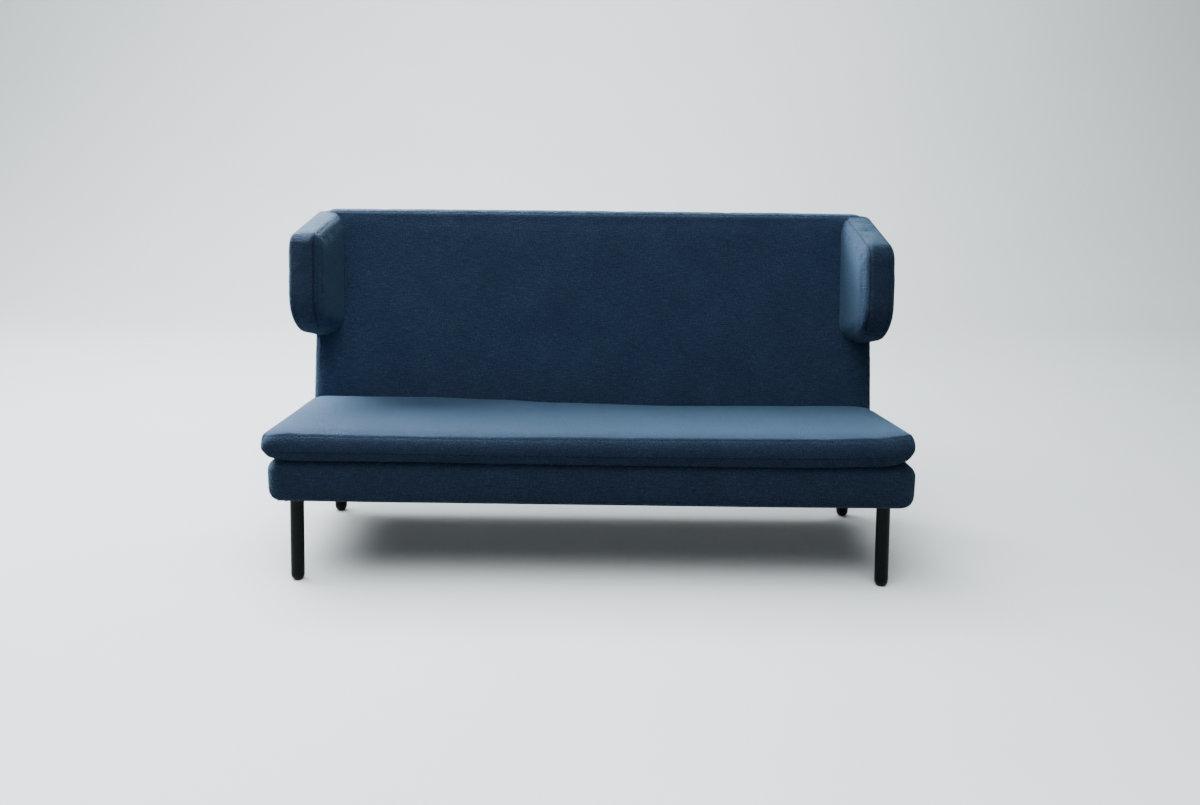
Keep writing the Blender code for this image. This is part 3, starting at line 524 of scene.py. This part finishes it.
FINISHES = {
    "blue_wool_fabric": wool_cloth("blue_melange_wool", 0.0, 0.56),
    "upholstery_foam": foam(),
    "polyester_wadding": fibre_mat(
        "polyester_wadding", (0.66, 0.66, 0.64), (0.88, 0.88, 0.86), 260.0, 0.95),
    "beech_timber": timber(),
    "birch_plywood": plywood(),
    "black_powder_coat": powder_coat(),
    "spring_steel": steel("spring_steel", (0.20, 0.20, 0.21), (0.34, 0.34, 0.35), 0.28),
    "zinc_plated_steel": steel(
        "zinc_plated_steel", (0.46, 0.47, 0.48), (0.62, 0.62, 0.61), 0.26),
    "black_nylon": nylon(),
    "black_dust_cloth": fibre_mat(
        "black_dust_cloth", (0.012, 0.012, 0.013), (0.030, 0.030, 0.033), 420.0, 0.92),
    "elastic_webbing": ribbed_band(
        "elastic_webbing", (0.05, 0.045, 0.04), (0.16, 0.14, 0.12), 0.003),
    "navy_zip_tape": ribbed_band(
        "navy_zip_tape", (0.010, 0.022, 0.050), (0.030, 0.060, 0.120), 0.0018),
}
THREAD = seam_thread()
# Copy of the wool for the wings, darkened with painted shade and given less sheen
SHADED_WING_CLOTH = wool_cloth("blue_melange_wool_painted_shade", 0.26, 0.46)


def dress_nodes():
    """Give every solid of the frame its detailed finish."""
    for row in frame["record"]["subparts"]:
        node = NODES[row["node"]]
        finish = FINISHES[row["material_slot"]]
        if not node.material_slots:
            node.data.materials.append(finish)
        for held in node.material_slots:
            held.material = finish


# Sewn forms
def stepped(low, high, step, guards=(SEAM_GUARD, FORM_GUARD)):
    """Even lines between two ends, with extra ones close to each end."""
    inner_low = low + guards[-1]
    inner_high = high - guards[-1]
    count = max(1, ceil((inner_high - inner_low) / step))
    lines = [inner_low + (inner_high - inner_low) * n / count for n in range(count + 1)]
    lines += [low, high]
    for guard in guards[:-1]:
        lines += [low + guard, high - guard]
    return sorted(lines)


def slice_grid(bm, axis, lines):
    """Cut the whole form along planes square to one axis."""
    normal = [0.0, 0.0, 0.0]
    normal[axis] = 1.0
    for line in lines:
        place = [0.0, 0.0, 0.0]
        place[axis] = line
        geometry = bm.verts[:] + bm.edges[:] + bm.faces[:]
        bmesh.ops.bisect_plane(
            bm, geom=geometry, dist=CUT_REACH, plane_co=place, plane_no=normal)


def lay_weave(bm, end_axes=(1, 2)):
    """Run the weave straight along each panel, in metres."""
    uv = bm.loops.layers.uv.new("weave")
    bm.normal_update()
    for face in bm.faces:
        size = [abs(part) for part in face.normal]
        main = size.index(max(size))
        first, second = (end_axes, (0, 2), (0, 1))[main]
        for loop in face.loops:
            loop[uv].uv = (loop.vert.co[first], loop.vert.co[second])


def along(stops, place):
    """Value at a place along smooth steps between (place, value) stops."""
    for (start, low), (end, high) in zip(stops, stops[1:]):
        if place <= end:
            return low + (high - low) * smooth_step((place - start) / (end - start))
    return stops[-1][1]


def smooth_step(value):
    value = min(max(value, 0.0), 1.0)
    return value * value * (3.0 - 2.0 * value)


def mesh_object(bm, name):
    """Object of the scene made from a finished form, which is freed."""
    bm.normal_update()
    bmesh.ops.recalc_face_normals(bm, faces=bm.faces)
    mesh = bpy.data.meshes.new(name)
    bm.to_mesh(mesh)
    bm.free()
    item = bpy.data.objects.new(name, mesh)
    bpy.context.scene.collection.objects.link(item)
    return item


def calmed(piece, rises, passes):
    """Even out how far each point rises by the rises of its neighbours."""
    for _ in range(passes):
        sums = list(rises)
        counts = [1] * len(rises)
        for edge in piece.data.edges:
            start, end = edge.vertices
            sums[start] += rises[end]
            sums[end] += rises[start]
            counts[start] += 1
            counts[end] += 1
        rises = [total / count for total, count in zip(sums, counts)]
    return rises


def inflate(piece, held, filling):
    """Fill a sewn cover by cloth simulation, as far as its held points and its cap let it."""
    pressure, cap, spare, passes = FILLINGS[filling]
    scene = bpy.context.scene
    rest = [vert.co.copy() for vert in piece.data.vertices]
    group = piece.vertex_groups.new(name="held")
    group.add(sorted(held), 1.0, "REPLACE")
    cloth = piece.modifiers.new("filling", "CLOTH")
    for key, setting in CLOTH_SETTINGS.items():
        setattr(cloth.settings, key, setting)
    cloth.settings.uniform_pressure_force = pressure
    cloth.settings.vertex_group_mass = group.name
    cloth.settings.shrink_min = -spare
    cloth.settings.effector_weights.gravity = 0.0
    cloth.collision_settings.use_collision = False
    cloth.point_cache.frame_start = 1
    cloth.point_cache.frame_end = CLOTH_FRAMES
    for number in range(1, CLOTH_FRAMES + 1):
        scene.frame_set(number)
    shape = piece.evaluated_get(bpy.context.evaluated_depsgraph_get())
    moved = [vert.co.copy() for vert in shape.data.vertices]
    piece.modifiers.remove(cloth)
    piece.vertex_groups.remove(group)
    outward = [vert.normal.copy() for vert in piece.data.vertices]
    rises = [min(max((end - start).dot(normal), -INWARD_LIMIT), cap)
             for start, end, normal in zip(rest, moved, outward)]
    rises = calmed(piece, rises, passes)
    for vert, start, normal, rise in zip(piece.data.vertices, rest, outward, rises):
        vert.co = start + normal * rise
    scene.frame_set(1)


def groove(piece, seams):
    """Draw each seam's points in, and mark them so that the cloth's shader paints shade into
    them.
    """
    mesh = piece.data
    normals = [vert.normal.copy() for vert in mesh.vertices]
    marks = mesh.attributes.new("seam", "FLOAT", "POINT").data
    for kind, points in seams.items():
        depth, painted_shade = GROOVES[kind]
        for index in points:
            mesh.vertices[index].co -= normals[index] * depth
            marks[index].value = painted_shade


def seam_paths(piece, points):
    """Each closed seam as its points in order, with their outward directions."""
    joined = {index: [] for index in sorted(points)}
    for edge in piece.data.edges:
        start, end = edge.vertices
        if start in joined and end in joined:
            joined[start].append(end)
            joined[end].append(start)
    unused = set(joined)
    paths = []
    for first in joined:
        if first not in unused:
            continue
        path = []
        onward = [first]
        while onward:
            here = onward[0]
            unused.discard(here)
            vert = piece.data.vertices[here]
            path.append((vert.co.copy(), vert.normal.copy()))
            onward = [index for index in joined[here] if index in unused]
        paths.append(path + path[:1])
    return paths


def one_stitch():
    bm = bmesh.new()
    bmesh.ops.create_uvsphere(bm, u_segments=6, v_segments=4, radius=0.5)
    bmesh.ops.rotate(bm, matrix=Matrix.Rotation(pi / 2, 3, "Y"), verts=bm.verts)
    bmesh.ops.scale(bm, vec=(STITCH_LENGTH, STITCH_WIDTH, STITCH_WIDTH), verts=bm.verts)
    mesh = bpy.data.meshes.new("stitch")
    bm.to_mesh(mesh)
    bm.free()
    return mesh


def sew(name, paths, place, body):
    """Lay a row of thread stitches along every path."""
    stitch = one_stitch()
    bm = bmesh.new()
    for path in paths:
        travelled = 0.0
        for (start, start_out), (end, end_out) in zip(path, path[1:]):
            step = end - start
            length = step.length
            while travelled < length:
                share = travelled / length
                outward = start_out.lerp(end_out, share).normalized()
                ahead = (step - outward * step.dot(outward)).normalized()
                turn = Matrix((ahead, outward.cross(ahead), outward)).transposed().to_4x4()
                point = start + step * share + outward * STITCH_RISE
                seat = Matrix.Translation(point) @ turn
                stitch.transform(seat)
                bm.from_mesh(stitch)
                stitch.transform(seat.inverted())
                travelled += STITCH_PITCH
            travelled -= length
    bpy.data.meshes.remove(stitch)
    put_in_place(mesh_object(bm, name), place, body, THREAD, levels=0)


def put_in_place(piece, place, body, material, levels=1):
    """Soften, move and finish a piece, and give it its slot and its body."""
    if levels:
        soft = piece.modifiers.new("soften", "SUBSURF")
        soft.levels = levels
        soft.render_levels = levels
    piece.data.transform(place)
    piece.data.materials.append(material)
    piece.data.shade_smooth()
    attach(piece, body)


# Seat cushion
def cushion_lines():
    """Where the cushion's box is cut: along its width, along its depth and up its walls."""
    half = CUSHION_WIDTH / 2
    zip_low = (ZIP_LEVEL - ZIP_HALF_HEIGHT) / CUSHION_REAR_EDGE
    zip_high = (ZIP_LEVEL + ZIP_HALF_HEIGHT) / CUSHION_REAR_EDGE
    below, above = BOXING_SEAM_GUARDS
    walls = sorted((
        *CUSHION_WALL_LINES, BOXING_SEAM - below, BOXING_SEAM, BOXING_SEAM + above,
        zip_low, zip_low + ZIP_GUARD, zip_high - ZIP_GUARD, zip_high,
    ))
    across = stepped(-half, half, CUSHION_CELL)
    return across, stepped(0.0, CUSHION_DEPTH, CUSHION_CELL), walls


def boxed_grid(*all_lines):
    """Closed box whose faces are cut along the given lines of each axis."""
    bm = bmesh.new()
    bmesh.ops.create_cube(bm, size=2.0)
    for axis, lines in enumerate(all_lines):
        edges = [e for e in bm.edges
                 if abs(e.verts[0].co[axis] - e.verts[1].co[axis]) > 1.0
                 and all(abs(e.verts[0].co[k] - e.verts[1].co[k]) < TOLERANCE
                         for k in range(3) if k != axis)]
        bmesh.ops.subdivide_edges(bm, edges=edges, cuts=len(lines) - 2, use_grid_fill=True)
    for vert in bm.verts:
        for axis, lines in enumerate(all_lines):
            vert.co[axis] = lines[round((vert.co[axis] + 1.0) / 2.0 * (len(lines) - 1))]
    return bm


def round_plan(x, y, half_x, length_y, radius):
    """Move a point of a rectangle to the same place in one with round corners."""
    far = y > length_y / 2
    beyond_x = abs(x) - (half_x - radius)
    beyond_y = y - (length_y - radius) if far else radius - y
    if beyond_x <= 0.0 or beyond_y <= 0.0:
        return x, y
    share = max(beyond_x, beyond_y) / Vector((beyond_x, beyond_y)).length
    new_x = half_x - radius + beyond_x * share
    shift = beyond_y * (share - 1.0)
    return (new_x if x > 0 else -new_x), (y + shift if far else y - shift)


def cushion_wall_inset(share):
    """How far the wall stands in from its widest line, at a share of its height."""
    if share > BOXING_SEAM:
        rise = (share - BOXING_SEAM) / (1.0 - BOXING_SEAM)
        low_part = BOX_SEAM_INSET * (1.0 - rise) ** 2
        return low_part + TOP_SEAM_INSET * rise ** TOP_INSET_POWER
    fall = (BOXING_SEAM - share) / BOXING_SEAM
    tuck = TUCK_SLOPE_SHARE * fall + TUCK_ROUND_SHARE * (1.0 - sqrt(1.0 - fall ** 2))
    return BOX_SEAM_INSET + (CUSHION_BOTTOM_ROLL - BOX_SEAM_INSET) * tuck


def shape_cushion(bm):
    """Crown, lean, settle and round the flat box."""
    half = CUSHION_WIDTH / 2
    for vert in bm.verts:
        x, y, share = vert.co
        u = x / half
        v = 2.0 * y / CUSHION_DEPTH - 1.0
        x, y = round_plan(x, y, half, CUSHION_DEPTH, CUSHION_CORNER)
        inset = cushion_wall_inset(share)
        rearward = (v + 1.0) / 2.0
        edge = CUSHION_FRONT_EDGE + (CUSHION_REAR_EDGE - CUSHION_FRONT_EDGE) * rearward
        near_end = smooth_step((abs(x) - half + CUSHION_END_SPAN) / CUSHION_END_SPAN)
        end = "right" if x > 0 else "left"
        lift = CUSHION_END_LIFT[end]
        settled = along(FRONT_SETTLE, u) * (1.0 - rearward) + along(REAR_SETTLE, u) * rearward
        z = (edge + settled) * share + lift * near_end ** 2 * (1.0 - share)
        crown_power = CROWN_POWERS["front" if v < 0 else "rear"]
        crown = (1.0 - abs(u) ** CROWN_POWERS["end"]) * (1.0 - abs(v) ** crown_power)
        z += CUSHION_CROWN * crown * share
        reach = min(half - abs(vert.co.x), vert.co.y, CUSHION_DEPTH - vert.co.y)
        z += SHOULDER_DROP * (1.0 - (1.0 - min(reach / SHOULDER_SPAN, 1.0)) ** 2) * share
        at_front, at_rear = CUSHION_END_INSET[end]
        end_share = at_front + (at_rear - at_front) * rearward
        end_inset = inset * (end_share if share > BOXING_SEAM else 1.0)
        x += SIDES[end] * (CUSHION_END_REACH[end] - end_inset) * abs(u) ** EDGE_POWERS["end"]
        if v < 0:
            y += inset * (-v) ** EDGE_POWERS["front"]
            z -= along(FRONT_SAG, u) * (-v) ** EDGE_POWERS["sag"] * (1.0 - share)
        zip_reach = ZIP_HALF_HEIGHT - ZIP_MARGIN
        in_zip = abs(z - ZIP_LEVEL) < zip_reach and abs(x) < ZIP_LENGTH / 2
        if v > 1.0 - TOLERANCE and in_zip and 0.0 < share < 1.0:
            y -= ZIP_DEPTH
        y += z * CUSHION_REAR_LEAN * smooth_step((v - REAR_LEAN_START) / REAR_LEAN_SPAN)
        vert.co = (x, y, z)


def lay_weave_on_cushion(bm):
    """Weave laid on the flat box, whose walls are drawn to their real height for it."""
    for vert in bm.verts:
        vert.co.z *= CUSHION_FRONT_EDGE
    lay_weave(bm)
    for vert in bm.verts:
        vert.co.z /= CUSHION_FRONT_EDGE


def make_seat_cushion():
    bm = boxed_grid(*cushion_lines())
    lay_weave_on_cushion(bm)
    top_edge = set()
    box_seam = set()
    underside = set()
    half = CUSHION_WIDTH / 2
    bm.verts.index_update()
    for vert in bm.verts:
        x, y, share = vert.co
        at_end = abs(abs(x) - half) < TOLERANCE
        on_wall = at_end or y < TOLERANCE or y > CUSHION_DEPTH - TOLERANCE
        if share == 1.0 and on_wall:
            top_edge.add(vert.index)
        elif on_wall and abs(share - BOXING_SEAM) < TOLERANCE:
            box_seam.add(vert.index)
        if share == 0.0:
            underside.add(vert.index)
    shape_cushion(bm)
    piece = mesh_object(bm, "seat_cushion_cover")
    inflate(piece, underside | box_seam, "cushion")
    groove(piece, {"cushion_top": top_edge, "cushion_boxing": box_seam})
    sew("seat_cushion_stitches", seam_paths(piece, top_edge) + seam_paths(piece, box_seam),
        CUSHION_PLACE, "seat_cushion")
    put_in_place(piece, CUSHION_PLACE, "seat_cushion", FINISHES["blue_wool_fabric"])
    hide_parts("cushion_cover", "cushion_core")


# Base
def make_base():
    bm = bmesh.new()
    height = BASE_HEIGHT - BASE_FLOOR
    bmesh.ops.create_cube(bm, size=1.0)
    bmesh.ops.scale(bm, vec=(BASE_WIDTH, BASE_DEPTH, height), verts=bm.verts)
    upright = [e for e in bm.edges if abs(e.verts[0].co.z - e.verts[1].co.z) > height / 2]
    bmesh.ops.bevel(bm, geom=upright, offset=BASE_CORNER, segments=6, profile=0.5,
                    affect="EDGES", material=-1)
    rim = [e for e in bm.edges if abs(e.verts[0].co.z - e.verts[1].co.z) < height / 2]
    bmesh.ops.bevel(bm, geom=rim, offset=BASE_EDGE, segments=5, profile=0.5,
                    affect="EDGES", material=-1)
    bmesh.ops.translate(bm, vec=(0.0, BASE_DEPTH / 2, BASE_FLOOR + height / 2), verts=bm.verts)
    hem = BASE_FLOOR + HEM_HEIGHT
    half = BASE_WIDTH / 2
    slice_grid(bm, 2, (hem - SEAM_GUARD, hem, hem + SEAM_GUARD, *BASE_BANDS))
    slice_grid(bm, 0, stepped(-half, half, BASE_CELLS[0], BASE_GUARDS)[1:-1])
    slice_grid(bm, 1, stepped(0.0, BASE_DEPTH, BASE_CELLS[1], BASE_GUARDS)[1:-1])
    lay_weave(bm)
    seam = set()
    flats = set()
    bm.verts.index_update()
    for vert in bm.verts:
        x, y, z = vert.co
        if abs(z - hem) < TOLERANCE:
            seam.add(vert.index)
        elif z < BASE_FLOOR + BASE_HELD_MARGIN or z > BASE_HEIGHT - BASE_HELD_MARGIN:
            flats.add(vert.index)
        near_front = smooth_step((BASE_SAG_REACH - y) / BASE_SAG_FADE)
        low = smooth_step((BASE_HEIGHT * BASE_SAG_TOP - z) / (BASE_HEIGHT * BASE_SAG_RISE))
        vert.co.z -= along(BASE_SAG, 2.0 * x / BASE_WIDTH) * near_front * low
        vert.co.x += BASE_SHIFT
    piece = mesh_object(bm, "base_upholstery")
    inflate(piece, seam | flats, "base")
    groove(piece, {"base_hem": seam})
    sew("base_hem_stitches", seam_paths(piece, seam), SEAT_PLACE, "sofa_frame")
    put_in_place(piece, SEAT_PLACE, "sofa_frame", FINISHES["blue_wool_fabric"])
    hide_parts("base_cover", "base_foam")


# Back and wings
def rim_level(rim, loop):
    """Level of one of the loops that round a panel's rim, from its flat side."""
    return rim * (1.0 - cos(loop * pi / 2 / RIM_STEPS))


def padded_panel(corners, thickness, rims):
    """Panel from (x, y, radius) corners, with round rims on its low and its high side."""
    bm = bmesh.new()
    face = bm.faces.new([bm.verts.new((x, y, 0.0)) for x, y, _ in corners])
    count = len(corners)
    offsets = []
    for index, (x, y, radius) in enumerate(corners):
        corner = Vector((x, y))
        before = Vector(corners[index - 1][:2]) - corner
        after = Vector(corners[(index + 1) % count][:2]) - corner
        half_angle = before.angle(after) / 2
        offsets.append(radius * cos(half_angle) / sin(half_angle))
    for vert, offset in zip(face.verts[:], offsets):
        if offset > 0.0:
            bmesh.ops.bevel(bm, geom=[vert], offset=offset, segments=7, profile=0.5,
                            affect="VERTICES", material=-1)
    result = bmesh.ops.extrude_face_region(bm, geom=bm.faces[:])
    raised = [item for item in result["geom"] if isinstance(item, bmesh.types.BMVert)]
    bmesh.ops.translate(bm, vec=(0.0, 0.0, thickness), verts=raised)
    bm.normal_update()
    bmesh.ops.recalc_face_normals(bm, faces=bm.faces)
    for level, rim in zip((0.0, thickness), rims):
        edges = [e for e in bm.edges if all(abs(v.co.z - level) < TOLERANCE for v in e.verts)]
        bmesh.ops.bevel(bm, geom=edges, offset=rim, segments=RIM_STEPS, profile=0.5,
                        affect="EDGES", material=-1)
    flats = [f for f in bm.faces if abs(f.normal.z) > 0.999 and len(f.verts) > 4]
    bmesh.ops.inset_region(bm, faces=flats, thickness=SEAM_GUARD, use_even_offset=True)
    return bm


def rim_seam(bm, level):
    """Points of the seam that runs round a panel at one of its rim's levels."""
    bm.verts.index_update()
    seam = set()
    for vert in bm.verts:
        if abs(vert.co.z - level) > TOLERANCE:
            continue
        flat = [all(abs(v.co.z - level) < TOLERANCE for v in f.verts) for f in vert.link_faces]
        if not all(flat):
            seam.add(vert.index)
    return seam


def make_back():
    half_foot = HALF_BACK + BACK_FOOT_FLARE
    corners = [
        (-half_foot, -BACK_FOOT_DEPTH, BACK_FOOT_CORNER),
        (half_foot, -BACK_FOOT_DEPTH, BACK_FOOT_CORNER),
        (HALF_BACK_TOP, BACK_HEIGHT, BACK_CORNER),
        (-HALF_BACK_TOP, BACK_HEIGHT, BACK_CORNER),
    ]
    bm = padded_panel(corners, BACK_THICKNESS, (BACK_EDGE, BACK_EDGE))
    slice_grid(bm, 0, stepped(-half_foot, half_foot, BACK_CELL, BACK_GUARDS)[1:-1])
    slice_grid(bm, 1, stepped(0.0, BACK_HEIGHT, BACK_CELL, BACK_GUARDS)[1:-1])
    slice_grid(bm, 2, (BACK_THICKNESS / 2,))
    lay_weave(bm, (2, 1))
    front_seam = rim_seam(bm, rim_level(BACK_EDGE, BACK_FRONT_LOOP))
    rear_seam = rim_seam(bm, BACK_THICKNESS - rim_level(BACK_EDGE, BACK_REAR_LOOP))
    for vert in bm.verts:
        x, up, across = vert.co
        vert.co = (x, across, up)
    piece = mesh_object(bm, "back_upholstery")
    inflate(piece, front_seam | rear_seam, "back")
    groove(piece, {"back_front": front_seam, "back_rear": rear_seam})
    sew("back_stitches", seam_paths(piece, front_seam) + seam_paths(piece, rear_seam),
        BACK_PLACE, "sofa_frame")
    put_in_place(piece, BACK_PLACE, "sofa_frame", FINISHES["blue_wool_fabric"])
    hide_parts("back_cover", "back_foam", "back_rear_wadding")


def mitre_path(piece, side):
    """Line over the wing's top where its strip meets the back's, from corner to corner."""
    tree = BVHTree.FromPolygons([vert.co for vert in piece.data.vertices],
                                [face.vertices for face in piece.data.polygons])
    inner = Vector((-side * MITRE_INNER[0], -MITRE_INNER[1], 1.0))
    outer = Vector((-side * MITRE_OUTER[0], -MITRE_OUTER[1], 1.0))
    path = []
    for step in range(MITRE_STITCHES + 1):
        start = inner.lerp(outer, step / MITRE_STITCHES)
        point, outward, _, _ = tree.ray_cast(start, Vector((0.0, 0.0, -1.0)))
        if point:
            path.append((point, outward))
    return path


def make_wing(name, side):
    top = BACK_HEIGHT - WING_TUCK + WING_RAISE
    floor = WING_FLOOR[name]
    low_front = floor + WING_FLOOR_RISE
    corners = [
        (0.0, floor, WING_ROOT_CORNER),
        (WING_LENGTH, low_front, WING_LOW_CORNER),
        (WING_LENGTH, top - WING_TOP_DROP[name], WING_TOP_CORNER[name]),
        (WING_SHOULDER[name], top, WING_SHOULDER_CORNER),
        (0.0, top, WING_ROOT_CORNER),
    ]
    bm = padded_panel(corners, WING_THICKNESS, (WING_OUTER_RIM, WING_INNER_RIM))
    slice_grid(bm, 0, stepped(0.0, WING_LENGTH, WING_CELL, WING_GUARDS)[1:-1])
    slice_grid(bm, 1, stepped(floor, top, WING_CELL, WING_GUARDS)[1:-1])
    slice_grid(bm, 2, WING_BANDS)
    lay_weave(bm, (2, 1))
    outer_seam = rim_seam(bm, rim_level(WING_OUTER_RIM, RIM_STEPS))
    inner_seam = rim_seam(bm, WING_THICKNESS - rim_level(WING_INNER_RIM, WING_INNER_LOOP))
    for vert in bm.verts:
        forward, up, across = vert.co
        swell = 1.0 + WING_ROOT_SWELL * (1.0 - forward / WING_LENGTH)
        above = (up - floor - WING_FLOOR_RISE * forward / WING_LENGTH) / WING_INNER_ROLL
        if above < 1.0:
            roll = sqrt(1.0 - (1.0 - max(above, 0.0)) ** 2)
            swell *= WING_LEAST_SHARE + (1.0 - WING_LEAST_SHARE) * roll
        vert.co = (-side * across * swell, -forward, up)
    piece = mesh_object(bm, f"{name}_wing_upholstery")
    inflate(piece, outer_seam | inner_seam, "wing")
    groove(piece, {"wing_outer": outer_seam, "wing_inner": inner_seam})
    sew(f"{name}_wing_stitches", seam_paths(piece, inner_seam) + [mitre_path(piece, side)],
        WING_PLACES[name], "sofa_frame")
    put_in_place(piece, WING_PLACES[name], "sofa_frame", SHADED_WING_CLOTH)
    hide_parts("back_cover", f"{name}_wing_foam")


# Floor, backdrop, lights and camera
def studio_paper():
    s = Shader("pale_studio_paper")
    cloud = s.grain(s.place(), 1.3, 2.0)
    colour = s.ramp(cloud, (0.3, (0.748, 0.790, 0.806)), (0.7, (0.773, 0.812, 0.828)))
    s.set(Base_Color=colour, Roughness=0.75)
    return s.material


def make_stage():
    """Paper that runs over the floor and bends up behind the sofa."""
    bm = bmesh.new()
    bmesh.ops.create_grid(bm, x_segments=1, y_segments=1, size=1.0)
    bmesh.ops.scale(bm, vec=(*SWEEP_HALF_SIZE, 1.0), verts=bm.verts)
    far = [e for e in bm.edges if all(v.co.y > 0 for v in e.verts)]
    lifted = bmesh.ops.extrude_edge_only(bm, edges=far)["geom"]
    bmesh.ops.translate(bm, vec=(0.0, 0.0, SWEEP_HEIGHT),
                        verts=[g for g in lifted if isinstance(g, bmesh.types.BMVert)])
    bend = [e for e in bm.edges if all(abs(v.co.z) < TOLERANCE and v.co.y > 0 for v in e.verts)]
    bmesh.ops.bevel(bm, geom=bend, offset=SWEEP_BEND, segments=24, profile=0.5,
                    affect="EDGES", material=-1)
    sweep = mesh_object(bm, "studio_sweep")
    sweep.data.materials.append(studio_paper())
    sweep.data.shade_smooth()
    sweep.visible_diffuse = False
    return sweep


def add_softbox(sweep, link_state, name, place, aim, size, power):
    """Area light for the sweep alone ("INCLUDE"), or for all but the sweep ("EXCLUDE")."""
    lamp = bpy.data.lights.new(name, "AREA")
    lamp.shape = "RECTANGLE"
    lamp.size, lamp.size_y = size
    lamp.energy = power
    lamp.color = LIGHT_COLOUR
    item = bpy.data.objects.new(name, lamp)
    bpy.context.scene.collection.objects.link(item)
    item.location = place
    item.rotation_euler = (Vector(aim) - Vector(place)).to_track_quat("-Z", "Y").to_euler()
    reach = bpy.data.collections.new(f"{name}_reach")
    reach.objects.link(sweep)
    reach.collection_objects[0].light_linking.link_state = link_state
    item.light_linking.receiver_collection = reach


def make_lights(sweep):
    world = bpy.data.worlds.new("studio_air")
    bpy.context.scene.world = world
    world.use_nodes = True
    air = world.node_tree.nodes["Background"]
    air.inputs["Color"].default_value = AIR_COLOUR
    air.inputs["Strength"].default_value = AIR_STRENGTH
    for light in SOFA_LIGHTS:
        add_softbox(sweep, "EXCLUDE", *light)
    for light in SWEEP_LIGHTS:
        add_softbox(sweep, "INCLUDE", *light)


def make_camera():
    """Camera set by its place and three turns, all measured from the sofa."""
    data = bpy.data.cameras.new("picture_camera")
    data.sensor_width = SENSOR
    data.sensor_fit = "HORIZONTAL"
    data.lens = LENS
    forward = Vector((sin(CAMERA_YAW) * cos(CAMERA_PITCH), cos(CAMERA_YAW) * cos(CAMERA_PITCH),
                      -sin(CAMERA_PITCH)))
    level = Vector((cos(CAMERA_YAW), -sin(CAMERA_YAW), 0.0))
    down = forward.cross(level)
    right = level * cos(CAMERA_ROLL) + down * sin(CAMERA_ROLL)
    low = down * cos(CAMERA_ROLL) - level * sin(CAMERA_ROLL)
    turn = Matrix((right, -low, -forward)).transposed().to_4x4()
    camera = bpy.data.objects.new("picture_camera", data)
    bpy.context.scene.collection.objects.link(camera)
    camera.matrix_world = SOFA_PLACE @ Matrix.Translation(CAMERA_PLACE) @ turn
    bpy.context.scene.camera = camera


make_camera()
make_lights(make_stage())
dress_nodes()
make_seat_cushion()
make_base()
make_back()
for wing_name, wing_side in SIDES.items():
    make_wing(wing_name, wing_side)
